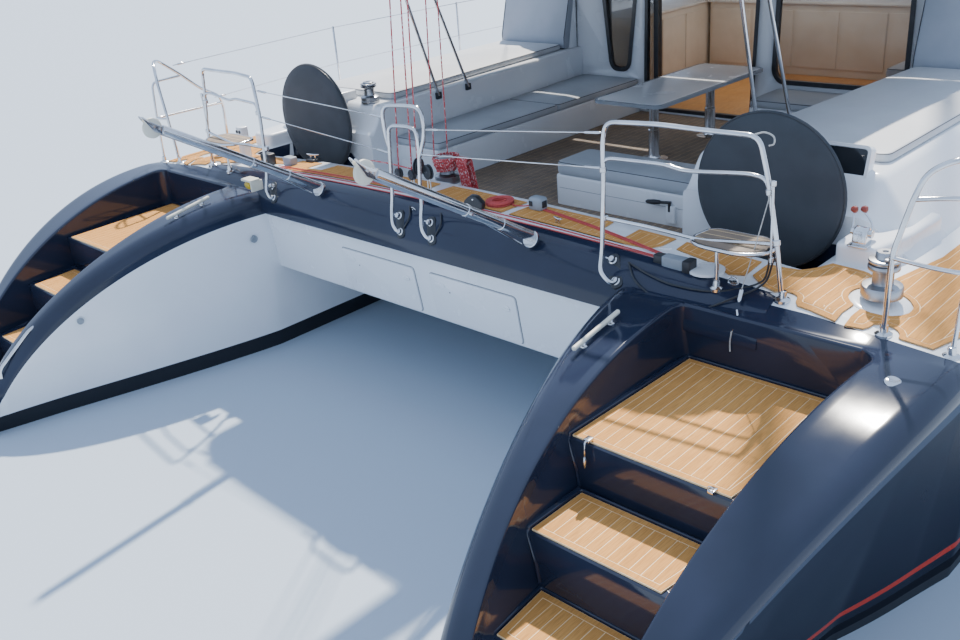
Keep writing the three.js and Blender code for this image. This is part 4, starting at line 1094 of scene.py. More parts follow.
def add_steps():
    """Glossy trays round teak treads, their risers, and curbs."""
    trays, fields = [], []
    for i, step in enumerate(STEPS):
        forward = WELL_Y - 0.0008 if i == 0 else STEPS[i - 1]["aft"] - 0.006
        base = step["top"] - TEAK
        aft = step["aft"] - 0.017
        ring = [[well_inner(aft) + 0.001, aft], [well_outer(aft) - 0.001, aft],
                [well_outer(forward) - 0.001, forward], [well_inner(forward) + 0.001, forward]]
        if i == 0:
            ring[2:] = [[well_outer(forward) - 0.001, forward - 0.1], [well_outer(forward) - 0.1, forward],
                        ring[3]]
        trays.append(slab(rounded(ring, 0.012), base - 0.03, base, 0.008))
        if i:
            riser = [[well_inner(forward) + 0.001, forward - 0.014],
                     [well_outer(forward) - 0.001, forward - 0.014], [well_outer(forward) - 0.001, forward],
                     [well_inner(forward) + 0.001, forward]]
            trays.append(slab(np.array(riser), base - 0.02, STEPS[i - 1]["top"] - TEAK - 0.004, 0.006))
        trays += curb(step, base)
        fields.append(teak_field(tread_outline(step), level_at(base), grow=0.003, border=0.036, width=0.070,
                                 lean=-0.02))
    planks, caulk = layers(fields)
    add_pair("step_trays", joined(trays), "navy_gelcoat", slot="teak_deck", node_name="swim_steps")
    add_pair("step_teak", planks, "teak", slot="teak_deck")
    add_pair("step_caulk", caulk, "caulk")


def aft_face_y(z):
    """The bridgedeck's raked aft face."""
    return SCOOP_Y + 0.09 * (SOLE_Z - z) / (SOLE_Z - TUNNEL_Z)


def add_bridgedeck():
    """The slab between the hulls: a raked aft face, an underside that rises under the house, the sole."""
    half = HULL_INNER + 0.45
    profile = [(aft_face_y(TUNNEL_Z), TUNNEL_Z), (4.0, TUNNEL_Z + 0.02), (5.2, TUNNEL_Z + 0.42),
               (5.2, DECK_Z - 0.04), (4.4, DECK_Z - 0.04), (4.4, SOLE_Z), (SCOOP_Y, SOLE_Z)]
    add("bridgedeck_skin", sideways(rounded(profile, 0.02), -half, half), "white_gelcoat",
        slot="white_gelcoat", replaces=["bridgedeck"])
    for side, x in (("port", -0.497), ("starboard", 0.625)):
        add_panel(side, x)


def add_panel(side, x):
    """An access panel on the aft face, with its seam, a flush handle and its lock, and a latch."""
    low, high = TUNNEL_Z + 0.035, SOLE_Z - 0.158
    tall = (high - low) / 0.989
    outline = rectangle(-0.465, 0.465, 0, tall, 0.03)
    up = unit(np.array([0, aft_face_y(high) - aft_face_y(low), high - low]))
    on_face = {"at": (x, aft_face_y(low) - 0.0003, low), "x": (1, 0, 0), "y": up,
               "z": np.cross([1, 0, 0], up)}
    body = f"panel_{side}"
    face = moved(slab(outline, 0.0, 0.015, 0.005), **on_face)
    add(f"panel_face_{side}", face, "white_gelcoat", body, "white_gelcoat", [f"access_panel_{side}"])
    seam = ring_strip(inset(outline, -0.007), inset(outline, -0.002), 0.0002, 0.0012)
    add(f"panel_seam_{side}", moved(seam, **on_face), "seam_grey")
    left, right = (-0.356, tall - 0.085), (0.372, tall - 0.115)
    plate = lambda at, wide, high: rectangle(at[0] - wide, at[0] + wide, at[1] - high, at[1] + high, high)
    latch = joined([slab(plate(left, 0.06, 0.02), 0.0145, 0.019, 0.002),
                    turned([(0.026, 0.0145), (0.026, 0.019), (0.018, 0.022)], (*right, 0)),
                    slab(plate(right, 0.035, 0.006), 0.021, 0.031, 0.003)])
    add(f"panel_latch_{side}", moved(latch, **on_face), "white_gelcoat", body)
    lock = turned([(0.006, 0.0145), (0.006, 0.0165)], (left[0] + 0.105, left[1] - 0.045, 0))
    add(f"panel_lock_{side}", moved(lock, **on_face), "black_plastic", body)


def cut(piece, *cutters):
    """The piece with other shapes taken out of it for good."""
    for part in cutters:
        tool = add("cutter", part, "white_gelcoat")
        change = piece.modifiers.new("cut", "BOOLEAN")
        change.operation, change.solver, change.object = "DIFFERENCE", "EXACT", tool
        bpy.context.view_layer.update()
        cleared = bpy.data.meshes.new_from_object(piece.evaluated_get(bpy.context.evaluated_depsgraph_get()))
        piece.modifiers.clear()
        piece.data = cleared
        bpy.data.objects.remove(tool)


def add_hulls():
    """Both hulls with the marks that their paint reads, the footwell cut out, and what is under water."""
    shape, marks = hull_shape()
    for (side, flip), sign in zip(SIDES, (1, -1)):
        piece = add(f"hull_skin_{side}", flip(shape), "hull_gelcoat", slot="navy_gelcoat",
                    replaces=[f"hull_{side}"], sharp=40)
        for name, values in marks.items():
            mark = piece.data.attributes.new(name, "FLOAT", "POINT")
            mark.data.foreach_set("value", values.ravel().astype(np.float32))
        x = sorted((sign * 1.7, sign * FOOTWELL_X))
        well = rectangle(x[0], x[1], FOOTWELL_Y[0] + 0.002, FOOTWELL_Y[1], 0.07)
        cut(piece, slab(well, SOLE_Z, 2.0, 0.001))
        add(f"under_water_{side}", flip(underwater()), "antifouling")


def underwater():
    """Fin keel, saildrive leg and its gearcase under a hull."""
    fin = [[(2.925, -0.9), (2.985, 0.9), (3.045, -0.9), (2.985, -1.3)],
           [(2.945, -0.8), (2.985, 0.5), (3.025, -0.8), (2.985, -1.1)]]
    keel = rings(np.array([[(*p, z) for p in ring] for ring, z in zip(fin, (-0.5, -1.15))]))
    a = angles(20)
    leg = rings(np.array([np.column_stack([2.985 + half * np.sin(a), -3.4 + chord * np.cos(a), 0 * a + z])
                          for z, chord, half in ((-0.48, 0.150, 0.062), (-0.76, 0.120, 0.045),
                                                 (-0.90, 0.160, 0.070))]))
    case = turned([(0.02, 0.03), (0.06, 0.01), (0.075, -0.05), (0.07, -0.25), (0.048, -0.38)],
                  (2.985, -3.25, -0.84), (0, 1, 0))
    return joined([keel, leg, case])


# Cockpit.

COAMING_Z = 2.15
COAMING_AFT_Z = 1.90
COAMING_Y = (-3.572, 0.14)
BACKREST_X = (2.10, 3.13)
BACKREST_Z = 2.858
COAMING_TOP_X = 3.19
COAMING_FOOT_X = 3.54


def coaming_inner(y):
    """The coaming's inner side, which spreads forward."""
    return 1.79 + 0.25 * (y + 3.7) / 3.84


def add_coamings():
    """Side shells: inner wall, round top, sloped outer face. The aft end rises in a soft S."""
    sections = []
    for y in np.concatenate([np.linspace(COAMING_Y[0], -3.2, 16), np.linspace(-3.1, COAMING_Y[1], 20)]):
        share = np.clip((y - COAMING_Y[0]) / 0.24, 0, 1)
        top = COAMING_AFT_Z + (COAMING_Z - COAMING_AFT_Z) * eased(share)
        inner = coaming_inner(y)
        corner = [(inner, SOLE_Z), (inner, top), (COAMING_TOP_X, top), (COAMING_FOOT_X, DECK_Z - 0.03),
                  (COAMING_FOOT_X, SOLE_Z)]
        section = rounded(corner, 0.05, 6)
        sections.append(np.column_stack([section[:, 0], np.full(len(section), y), section[:, 1]]))
    shell = rings(np.array(sections))
    console = slab(rounded([(3.125, -3.885), (3.400, -3.885), (3.470, -3.500), (3.500, -3.0),
                            (3.125, -3.0)], 0.07, 6), DECK_Z - 0.1, 1.83, 0.035, 6)
    low, high, fore = COAMING_Z - 0.03, BACKREST_Z + 0.002, COAMING_Y[1]
    support = rounded([(-0.04, low), (fore, low), (fore, high), (0.11, high)], 0.02)
    support = sideways(support, *BACKREST_X, 0.03, 5)
    add_pair("coaming_shell", joined([shell, console, support]), "white_gelcoat", slot="white_gelcoat",
             node_name="coaming")


def pad_rings(outline, low, high):
    """A cushion: a flat underside, sides that swell a little, a soft edge and a crowned top."""
    edge, bulge, crown = 0.022, 0.006, 0.012
    middle = outline.mean(0)
    levels = [(0.012, low), (0.002, low + 0.008)]
    levels += [(-bulge * np.sin(np.pi * t), low + 0.008 + (high - edge - low - 0.008) * t)
               for t in (0.3, 0.6, 1.0)]
    levels += [(edge * (1 - np.cos(a)), high - edge * (1 - np.sin(a)))
               for a in np.linspace(0.3, np.pi / 2, 6)]
    p = [at_height(inset(outline, c), z) for c, z in levels]
    top = inset(outline, edge)
    for s in (0.97, 0.93, 0.87, 0.78, 0.66, 0.5, 0.33, 0.16, 0.02):
        p.append(at_height(middle + (top - middle) * s, high + crown * (1 - s ** 3)))
    return rings(np.array(p))


def hoop(path, radius, sides=8):
    """A closed round cord along a closed path."""
    along = unit(np.roll(path, -1, 0) - np.roll(path, 1, 0))
    side = unit(np.cross(along, [0.03, 0.05, 1.0]))
    a = angles(sides)[None, :, None]
    p = path[:, None] + radius * (np.cos(a) * side[:, None] + np.sin(a) * np.cross(along, side)[:, None])
    return outward(p.reshape(-1, 3), quads(len(path), sides, True) + closing(len(path), sides))


def cushion(name, corners, low, high, look, node_name=None, radius=0.05, pairs=False):
    """A pad over an outline, with piping round its upper and lower edges."""
    outline = dense(rounded(corners, radius, 7), 0.08)
    add_one = add_pair if pairs else add
    given = {"node_name": node_name} if pairs else {"replaces": [node_name] if node_name else []}
    made = add_one(name, pad_rings(outline, low, high), look, slot="grey_vinyl", sharp=60, **given)
    cords = [hoop(at_height(inset(outline, 0.006), z), 0.004) for z in (high - 0.009, low + 0.012)]
    add_one(f"{name}_piping", joined(cords), "dark_piping", slot="grey_vinyl")


def add_furniture():
    """Benches of white moulding with their cushions, sunpads on the coamings and wedge backrests."""
    inner = lambda y: -coaming_inner(y) + 0.004
    seat, cushion_top, front = 1.74, 1.818, COAMING_Y[1]
    bench = [(-1.18, -3.25), (-1.18, front), (inner(front), front), (inner(-3.25), -3.25)]
    add("bench_shell_port", slab(rounded(bench, 0.03), SOLE_Z, seat, 0.012), "white_gelcoat",
        slot="white_gelcoat", replaces=["bench_port"])
    for name, aft, fore in (("aft", -3.242, -1.395), ("forward", -1.387, 0.132)):
        corners = [(-1.188, aft), (-1.188, fore), (inner(fore) + 0.008, fore), (inner(aft) + 0.008, aft)]
        cushion(f"bench_pad_{name}", corners, seat + 0.001, cushion_top, "grey_vinyl",
                f"bench_cushion_{name}")
    add("bench_shell_starboard", box((0.24, -3.2, SOLE_Z), (1.78, -2.7, seat - 0.04), 0.05, 0.015),
        "white_gelcoat", slot="white_gelcoat", replaces=["bench_starboard"])
    cushion("bench_pad_starboard", [(0.248, -3.192), (1.772, -3.192), (1.772, -2.708), (0.248, -2.708)],
            seat - 0.039, cushion_top, "grey_vinyl", "bench_cushion_starboard", radius=0.07)
    add("seat_shell_forward", box((0.6, -0.48, SOLE_Z), (1.96, front, 1.76), 0.04, 0.015), "white_gelcoat",
        slot="white_gelcoat", replaces=["seat_forward"])
    cushion("seat_pad_forward", [(0.605, -0.475), (1.955, -0.475), (1.955, 0.135), (0.605, 0.135)], 1.761,
            1.84, "grey_vinyl")
    pad = [(coaming_inner(-3.12) + 0.11, -3.12), (3.13, -3.12), (3.13, -0.15),
           (coaming_inner(-0.15) + 0.11, -0.15)]
    cushion("sunpad_cover", pad, COAMING_Z + 0.001, 2.219, "cream_vinyl", "sunpad", pairs=True, radius=0.08)
    add_backrests()


def add_backrests():
    """Wedge backrests: the aft face leans forward, with piping round it."""
    foot = COAMING_Z + 0.001
    side = rounded([(-0.133, foot), (-0.041, foot), (0.108, BACKREST_Z), (0.022, BACKREST_Z), (-0.133, 2.29)],
                   0.02, 4)
    wedge = sideways(side, *BACKREST_X, 0.018, 5)
    for piece in add_pair("backrest_cover", wedge, "slate_vinyl", slot="grey_vinyl", node_name="backrest"):
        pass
    lean = lambda x, z: (x, np.interp(z, [COAMING_Z, 2.29, BACKREST_Z], [-0.133, -0.133, 0.022]) - 0.001, z)
    left, right = BACKREST_X[0] + 0.005, BACKREST_X[1] - 0.005
    edge = np.array([lean(x, z) for x, z in [
        (left, 2.16), (left, 2.29), (left, 2.6), (left, 2.85), (2.6, 2.852),
        (right, 2.85), (right, 2.6), (right, 2.29), (right, 2.16), (2.6, 2.155)]])
    add_pair("backrest_piping", hoop(edge, 0.005), "dark_piping", slot="grey_vinyl")


def add_helms():
    """Wheels under round covers, pedestals with instrument pods, and the engine controls."""
    cover = turned([(0.0, -0.036), (0.25, -0.036), (0.45, -0.032), (0.53, -0.026), (0.552, -0.014),
                    (0.56, 0.0), (0.552, 0.014), (0.53, 0.022), (0.4, 0.024), (0.0, 0.024)], WHEEL,
                   (0, 1, 0), 72)
    seam = hoop(loop_at((WHEEL[0], WHEEL[1] - 0.017, WHEEL[2]), 0.548, 0.548, 72), 0.0035, 6)
    hub = turned([(0.045, 0.02), (0.045, 0.138)], WHEEL, (0, 1, 0))
    for side, flip in SIDES:
        body = f"wheel_{side}"
        add(f"wheel_cover_{side}", flip(cover), "cover_cloth", body, "dark_canvas",
            [f"steering_wheel_{side}"])
        add(f"wheel_hub_{side}", flip(joined([hub, seam])), "black_plastic", body)
    aft = WHEEL[1] + 0.1403
    box_side = rounded([(aft, 1.914), (-3.2, 1.914), (-3.2, 2.24), (aft + 0.06, 2.24), (aft, 2.12)], 0.02)
    stand = sideways(box_side, WHEEL[0] - 0.15, WHEEL[0] + 0.15, 0.02, 4)
    lean = unit(np.array([0, 0.07, 0.25]))
    pod_at = dict(at=(2.893, -3.352, 2.190), x=(1, 0, 0), y=lean, z=(0, -lean[2], lean[1]))
    rim = rectangle(-0.195, 0.205, -0.122, 0.132, 0.045)
    pod = moved(slab(rim, -0.085, 0.0, 0.02, 5), **pod_at)
    lip = moved(ring_strip(rim, rectangle(-0.172, 0.182, -0.1, 0.11, 0.03), -0.01, 0.014), **pod_at)
    link = box((WHEEL[0] + 0.14, -3.30, 2.15), (WHEEL[0] + 0.2, -3.24, 2.21))
    add_pair("helm_stand", joined([stand, pod, lip, link]), "white_gelcoat", slot="white_gelcoat",
             node_name="helm_pedestal")
    screen = moved(slab(rectangle(-0.168, 0.178, -0.096, 0.106, 0.028), -0.002, 0.006, 0.002), **pod_at)
    add_pair("helm_screen", screen, "screen_glass", slot="tinted_glass")
    add_engine_control()


def add_engine_control():
    """A chrome box on the console with a lever and a red knob on each side."""
    at = np.array([3.285, -3.83, 1.83])
    chrome = [moved(sideways(rounded([(-0.06, 0.0), (0.06, 0.0), (0.045, 0.10), (0.0, 0.125),
                                      (-0.045, 0.10)], 0.03, 6), -0.045, 0.045, 0.012, 4), at),
              moved(box((-0.065, -0.085, -0.002), (0.065, 0.085, 0.008), 0.02, 0.003), at)]
    knobs = []
    for x, knob in ((-0.055, (3.200, -3.775, 2.015)), (0.055, (3.262, -3.770, 2.025))):
        chrome.append(turned([(0.026, -0.012), (0.026, 0.012)], at + [x, 0, 0.075], (1, 0, 0)))
        start, end = at + [x * 1.15, 0, 0.075], np.array(knob)
        path = flowing([start, start * 0.55 + end * 0.45 + [max(x, 0) * 0.35, 0, 0.01], end], 16)
        chrome.append(tube(path, 0.007))
        knobs.append(turned([(0.0, -0.024), (0.014, -0.02), (0.024, 0.0), (0.02, 0.016), (0.0, 0.024)],
                            end + [0, 0, 0.015], (1, 0, 0)))
    add_steel("control_head", chrome)
    add("control_knobs", joined(knobs), "red_plastic")


add_hulls()
add_steps()
add_beam()
add_teak()
add_bridgedeck()
add_coamings()
add_furniture()
add_helms()

# Stern rails, davits and winches.

HOOP_Y = -4.750
THIN_TUBE = 0.013


def beam_face_y(x, z):
    """The beam's round aft face."""
    share = np.clip((z - SOLE_Z) / (beam_top(x) - SOLE_Z), 0, 1)
    return BEAM_EDGE_Y - BEAM_REACH * np.sqrt(1 - share ** 2)


def stern_leg(x, turn, end):
    """A leg that comes down behind the beam and turns into its aft face at the height of its end."""
    top = beam_top(x)
    return [(x + turn, -4.715, end), (x + turn, -4.780, end + 0.002), (x + turn * 0.7, -4.805, end + 0.016),
            (x + turn * 0.2, -4.814, end + 0.072), (x, -4.795, top - 0.040), (x, -4.770, top + 0.060)]


def clamp(at, along, radius=0.024, length=0.035):
    """A short sleeve round a tube."""
    half = length / 2
    return turned([(radius - 0.004, -half), (radius, -half + 0.004), (radius, half - 0.004),
                   (radius - 0.004, half)], at, along, 16)


def foot_plate(x, y, z, radius=0.05):
    """Round socket plate under a rail's leg."""
    return turned([(radius, -0.01), (radius, 0.008), (radius * 0.8, 0.014), (0.026, 0.02), (0.022, 0.06),
                   (0.018, 0.062)], (x, y, z), sides=20)


def wide(path, radius=TUBE, bend=0.07):
    return tube(bent(path, bend, 6), radius, 14)


def boss_pair(x, z_low, z_high, shift=0.0):
    """Two round bosses on an oblong dark plate on the beam's aft face, the plate a painted reflection of the
    leg in the glossy beam: returns steel and dark parts.
    """
    low = np.array([x, beam_face_y(x, z_low), z_low])
    high = np.array([x + shift, beam_face_y(x + shift, z_high), z_high])
    up = unit(high - low)
    out = np.cross(up, [-1, 0, 0])
    out = unit(out * -np.sign(out[1]))
    steel = []
    for at, reach in ((low, 0.030), (high, 0.036)):
        steel.append(turned([(0.030, 0.0), (0.030, 0.008), (0.022, 0.014), (0.020, reach),
                             (0.0, reach + 0.004)], at + out * 0.004, out, 18))
    steel.append(tube([high + out * 0.02, high + out * 0.024 + [-0.05, 0, 0.004]], 0.007, 8))
    length = np.linalg.norm(high - low)
    # The dark plate is a painted reflection: it stands for the leg's dark reflection in the glossy beam.
    plate = slab(rectangle(-0.045, 0.045, -0.05, length + 0.05, 0.045), -0.02, 0.005, 0.003)
    dark = moved(plate, low, np.cross(up, out), up, out)
    return joined(steel), dark


def pushpit(x, turn, end):
    """The rail at a hull's inner stern quarter with its round seat: steel, teak and the lines on the teak."""
    frame_path = [*stern_leg(x, turn, end), ((x + 1.931) / 2, -4.728, 2.283), (1.933, -4.722, 2.540),
                  (1.960, -4.715, 2.672), (2.305, -4.670, 2.682), (2.600, -4.640, 2.672),
                  (2.960, -4.602, 2.665), (3.020, -4.588, 2.420), (3.095, -4.590, 2.033),
                  (3.143, -4.574, 1.650)]
    middle = [(1.930, -4.725, 2.350), (1.945, -4.720, 2.440), (2.363, -4.670, 2.440), (2.494, -4.650, 2.408),
              (2.903, -4.600, 2.436), (3.010, -4.590, 2.420), (3.032, -4.586, 2.330)]
    low = [(x - 0.002, -4.735, 2.040), (2.278, -4.700, 2.024), (2.607, -4.640, 1.980), (3.095, -4.590, 2.030)]
    seat_ring = rounded([(2.530, -4.640), (2.640, -4.725), (2.950, -4.735), (3.080, -4.600), (3.000, -4.400),
                         (2.560, -4.400)], 0.09, 7)
    ring = at_height(dense(seat_ring, 0.1), 1.975)
    parts = [wide(frame_path), wide(middle, THIN_TUBE), wide(low, THIN_TUBE), hoop(ring, THIN_TUBE, 12),
             tube([(2.730, -4.640, 1.670), (2.730, -4.640, 1.970)], 0.014),
             foot_plate(3.143, -4.574, float(deck_height(3.143, -4.574)) - 0.002),
             foot_plate(2.730, -4.640, float(top_at(2.73, -4.64)) + 0.03, 0.04),
             clamp((1.932, -4.7235, 2.36), (0, 0, 1)), clamp((3.033, -4.587, 2.34), (0.15, 0, -1)),
             clamp((3.093, -4.590, 2.04), (0.15, 0, -1)), clamp((x - 0.001, -4.733, 2.04), (0, 0, 1)),
             tube([(3.068, -4.600, 1.900), (3.062, -4.604, 2.420)], 0.008),
             clamp((3.062, -4.600, 2.400), (0, 0, 1), 0.016), clamp((3.070, -4.600, 1.930), (0, 0, 1), 0.016)]
    teak = slab(inset(seat_ring, 0.014), 1.972, 1.990, 0.003)
    lines = [box((2.56, y - 0.002, 1.989), (3.02, y + 0.002, 1.9908), 0.001, 0.0003)
             for y in (-4.46, -4.54, -4.62)]
    return joined(parts), teak, joined(lines)


def add_rails():
    """Pushpits on both sides, and the hoop of two bent tubes amidships, each leg on its bosses."""
    reflection_plates_and_straps = []
    rows = ((1.946, (2.040, 1.610, 1.710, -0.090)), (1.882, (1.845, 1.583, 1.663, 0.071)))
    for (side, flip), (x, boss) in zip(SIDES, rows):
        steel, teak, lines = pushpit(x, boss[0] - x, boss[1])
        studs, plate = boss_pair(*boss)
        add(f"pushpit_rail_{side}", flip(joined([steel, studs])), "steel", slot="stainless",
            replaces=[f"pushpit_{side}"])
        # The seat takes the darker grey teak: partly the wood's own greyer tone, partly painted shade, as the
        # seat lies in shade.
        add(f"pushpit_seat_{side}", flip(teak), "grey_teak", slot="teak_deck")
        add(f"pushpit_seat_lines_{side}", flip(lines), "caulk")
        reflection_plates_and_straps.append(flip(plate))
    over = [(x, HOOP_Y, z) for x, z in ((-0.124, 2.324), (-0.110, 2.440), (0.140, 2.456), (0.205, 2.430),
                                        (0.214, 2.285))]
    inner = [*stern_leg(-0.138, 0.058, 1.578), *over, (0.189, -4.760, 1.965),
             *stern_leg(0.205, 0.075, 1.585)[::-1]]
    outer = [(x, HOOP_Y, z) for x, z in ((-0.124, 2.250), (-0.165, 2.380), (-0.170, 2.585), (0.040, 2.610),
                                         (0.280, 2.620), (0.300, 2.420), (0.212, 2.230))]
    hoops = [wide(inner, bend=0.09), wide(outer, bend=0.16)]
    for boss in ((-0.080, 1.578, 1.686, -0.059), (0.280, 1.585, 1.690, -0.056)):
        studs, plate = boss_pair(*boss)
        hoops.append(studs)
        reflection_plates_and_straps.append(plate)
        strap = [(boss[0], -4.650, 1.762), (boss[0] + 0.060, -4.720, 1.700), (boss[0] + 0.032, -4.768, 1.614)]
        reflection_plates_and_straps.append(tube(flowing(strap, 16), 0.007, 8))
    hoops.append(hoop(loop_at((-0.020, -4.665, 1.748), 0.022, 0.020, back=0.012), 0.005))
    add_steel("stern_hoop_rail", hoops, replaces=["stern_hoop"])
    # The dark plates under the bosses are painted reflections of the legs in the glossy beam; the dark straps
    # go with them.
    add("boss_plates", joined(reflection_plates_and_straps), "black_plastic")
    add_guard_rails()


def add_guard_rails():
    """Stanchions and wires along each side, and the bent rail round the stern quarter."""
    posts = (-2.0, 0.15, 2.3, 4.4, 6.3)
    wire_gap = 0.43
    edge = lambda y: float(outer_at(y)) - 0.15 - 0.06 * float(bow_share(y))
    high = lambda y: float(deck_level(y)) - SIDE_DROP + 1.05
    quarter = [(3.767, -4.592, 1.55), (3.784, -4.630, 2.119), (3.861, -4.620, 2.441), (3.905, -4.600, 2.580),
               (4.020, -4.540, 2.650), (4.150, -4.420, 2.640), (4.150, -4.206, 2.471), (4.150, -3.979, 2.266),
               (4.155, -3.760, 2.140), (4.165, -3.725, 2.040), (4.170, -3.740, 1.580)]
    thin = ([(4.135, -4.582, 1.52), (4.150, -4.557, 2.058), (4.150, -4.530, 2.430), (4.150, -4.200, 2.440)],
            [(3.861, -4.620, 2.435), (4.010, -4.560, 2.450), (4.152, -4.470, 2.440)],
            [(3.784, -4.630, 2.100), (4.000, -4.610, 2.075), (4.150, -4.556, 2.058), (4.160, -3.740, 2.058)])
    parts = [wide(quarter), *[wide(path, THIN_TUBE) for path in thin]]
    for x, y in (RAIL_FEET["middle"], RAIL_FEET["outer"], (4.170, -3.740)):
        parts.append(foot_plate(x, y, float(top_at(x, y)) - 0.004))
    for y in posts:
        base = float(top_at(edge(y), y))
        post = [(edge(y), y, z) for z in (base - 0.05, high(y) - 0.01, high(y))]
        parts.append(tube(post, [THIN_TUBE, THIN_TUBE, 0.010]))
        parts.append(foot_plate(edge(y), y, base - 0.008, 0.04))
    for down in (0.0, wire_gap):
        line = [(4.150, -4.250 + down, 2.560 - down)] + [(edge(y), y, high(y) - 0.015 - down) for y in posts]
        parts.append(tube(line, 0.005, 8))
        start = np.array(line[0])
        ahead = unit(line[1] - start)
        parts.append(turned([(0.006, 0.05), (0.011, 0.06), (0.011, 0.14), (0.006, 0.15)], start, ahead, 12))
    for side, flip in SIDES:
        add(f"guard_rails_{side}", flip(joined(parts)), "steel", slot="stainless",
            replaces=[f"guard_rail_{side}"])


def add_davits():
    """A polished arm over the stern: a foot's flange, a fork with a cream wheel at its tip, a brace."""
    for side, x in (("port", -1.192), ("starboard", 1.268)):
        foot, tip = np.array([x, -4.700, 1.772]), np.array([x, -6.100, 2.606])
        along = unit(tip - foot)
        over = np.array([0, along[2], -along[1]])
        arm = tube([foot - along * 0.03, foot, tip - along * 0.05, tip - along * 0.04],
                   [0.038, 0.040, 0.040, 0.038], 24)
        flange = turned([(0.050, -0.016), (0.062, -0.014), (0.065, -0.008), (0.065, 0.010), (0.060, 0.015),
                         (0.030, 0.016)], foot + [0, -0.012, -0.018], along, 36)
        fork = np.array([(-0.070, -0.032), (0.030, -0.034), (0.075, -0.010), (0.150, 0.026), (0.158, 0.036),
                         (0.148, 0.042), (0.090, 0.026), (0.030, 0.024), (-0.070, 0.032)])
        fork = (tip + fork[:, :1] * along + fork[:, 1:] * over)[:, 1:]
        cheeks = [sideways(rounded(fork, 0.012, 4), x + s - 0.003, x + s + 0.003, 0.0015)
                  for s in (-0.025, 0.025)]
        pins = [turned([(0.010, -0.034), (0.010, 0.034)], tip + along * d, (1, 0, 0), 14)
                for d in (0.04, -0.015)]
        brace = tube([(x - 0.055, -4.760, 1.722), (x - 0.050, -5.300, 2.125)], 0.008)
        grips = [clamp(foot + along * d, along, 0.044, 0.03) for d in (0.36, 0.74)]
        bolt = turned([(0.010, -0.06), (0.010, 0.06)], foot + along * 0.74 + [0, 0, -0.02], (1, 0, 0), 12)
        add_steel(f"davit_arm_{side}", [arm, flange, *cheeks, *pins, brace, *grips, bolt],
                  replaces=[f"davit_{side}"])
        wheel = turned([(0.0, -0.018), (0.060, -0.018), (0.076, -0.010), (0.070, 0.0), (0.076, 0.010),
                        (0.060, 0.018), (0.0, 0.018)], tip + along * 0.036 - over * 0.012, (1, 0, 0), 32)
        add(f"davit_wheel_{side}", wheel, "cream_plastic")


SHEET_WINCH = (-0.4, -3.9)

# Shares of a winch's radius and of its height, from its foot up to the socket in its cap.
FOOTED_WINCH = ((1.0, 0.0), (1.03, 0.04), (1.03, 0.10), (0.98, 0.12), (1.0, 0.28), (0.78, 0.33),
                (0.60, 0.36), (0.56, 0.50), (0.58, 0.66), (0.72, 0.72), (0.88, 0.75), (0.89, 0.79),
                (0.70, 0.82), (0.70, 0.835), (0.88, 0.86), (0.86, 0.91), (0.62, 0.93), (0.58, 0.985),
                (0.50, 1.0), (0.20, 1.0), (0.17, 0.95), (0.0, 0.95))
BROAD_WINCH = ((0.69, 0.0), (0.66, 0.10), (0.66, 0.40), (0.72, 0.45), (0.98, 0.49), (1.0, 0.52),
               (1.0, 0.60), (0.96, 0.63), (0.80, 0.65), (0.80, 0.67), (0.97, 0.70), (1.0, 0.74),
               (0.97, 0.79), (0.60, 0.82), (0.58, 0.86), (0.56, 0.95), (0.50, 1.0), (0.20, 1.0),
               (0.17, 0.95), (0.0, 0.95))


def winch(at, radius, height, form=FOOTED_WINCH):
    """A self-tailing winch from shares of its radius and height: foot, drum, jaws, a cap with a socket."""
    size = np.array([radius, radius, height])
    profile = [(radius * across, height * up) for across, up in form]
    feeder = box(at + size * [0.3, -0.95, 0.86], at + size * [0.62, -0.4, 0.92], 0.01, 0.004)
    return joined([turned(profile, at, sides=40), feeder])


def add_winches():
    """Winches on the side deck, on the port coaming and on a stand behind the cockpit's bench."""
    base = [(0.112, 0.0), (0.120, 0.006), (0.120, 0.060), (0.114, 0.072), (0.085, 0.078), (0.0, 0.078)]
    drum = [winch((*WINCH, 1.770), 0.092, 0.212, BROAD_WINCH), turned(base, (*WINCH, 1.702), sides=48)]
    add("deck_winch_drum", joined(drum), "alloy", slot="winch_alloy", replaces=["deck_winch"])
    skirt = [(0.178, -0.014), (0.176, 0.004), (0.165, 0.010), (0.140, 0.013), (0.0, 0.013)]
    add("deck_winch_base", draped(turned(skirt, (*WINCH, 0.0), sides=48), deck_height), "white_gelcoat")
    add("coaming_winch_drum", winch((-2.08, -3.29, COAMING_Z), 0.093, 0.21), "alloy", slot="winch_alloy",
        replaces=["coaming_winch"])
    stand = [(0.152, -0.002), (0.148, 0.02), (0.140, 0.27), (0.125, 0.298), (0.0, 0.298)]
    add("sheet_winch_stand", turned(stand, (*SHEET_WINCH, SOLE_Z + 0.002), sides=40), "white_gelcoat")
    add("sheet_winch_drum", winch((*SHEET_WINCH, SOLE_Z + 0.300), 0.110, 0.23), "alloy", slot="winch_alloy",
        replaces=["sheet_winch"])


def add_table():
    """Table: a white leaf with a clear rounded rim, on two steel pedestals with broad feet."""
    outline = rounded([(-0.230, -2.050), (0.560, -2.050), (0.560, -0.040), (-0.230, -0.040)], 0.12, 8)
    leaf = slab(inset(outline, 0.03), 2.052, 2.089, 0.006)
    rim = ring_strip(outline, inset(outline, 0.029), 2.053, 2.086)
    legs = []
    for y in (-1.55, -0.50):
        legs.append(turned([(0.150, 0.0), (0.150, 0.006), (0.120, 0.016), (0.070, 0.022), (0.058, 0.05),
                            (0.056, 0.30), (0.048, 0.31), (0.047, 0.60), (0.09, 0.612), (0.11, 0.631)],
                           (0.165, y, SOLE_Z + 0.0003)))
    add("table_leaf", leaf, "white_gelcoat", slot="white_gelcoat", replaces=["cockpit_table"])
    add("table_rim", rim, "clear_plastic")
    add_steel("table_legs", legs)


# Columns: y of a leg's foot on the coaming, and x and y of its top.
AWNING_LEGS = ((-2.55, (1.850, -2.970)), (-2.07, (1.860, -2.620)))


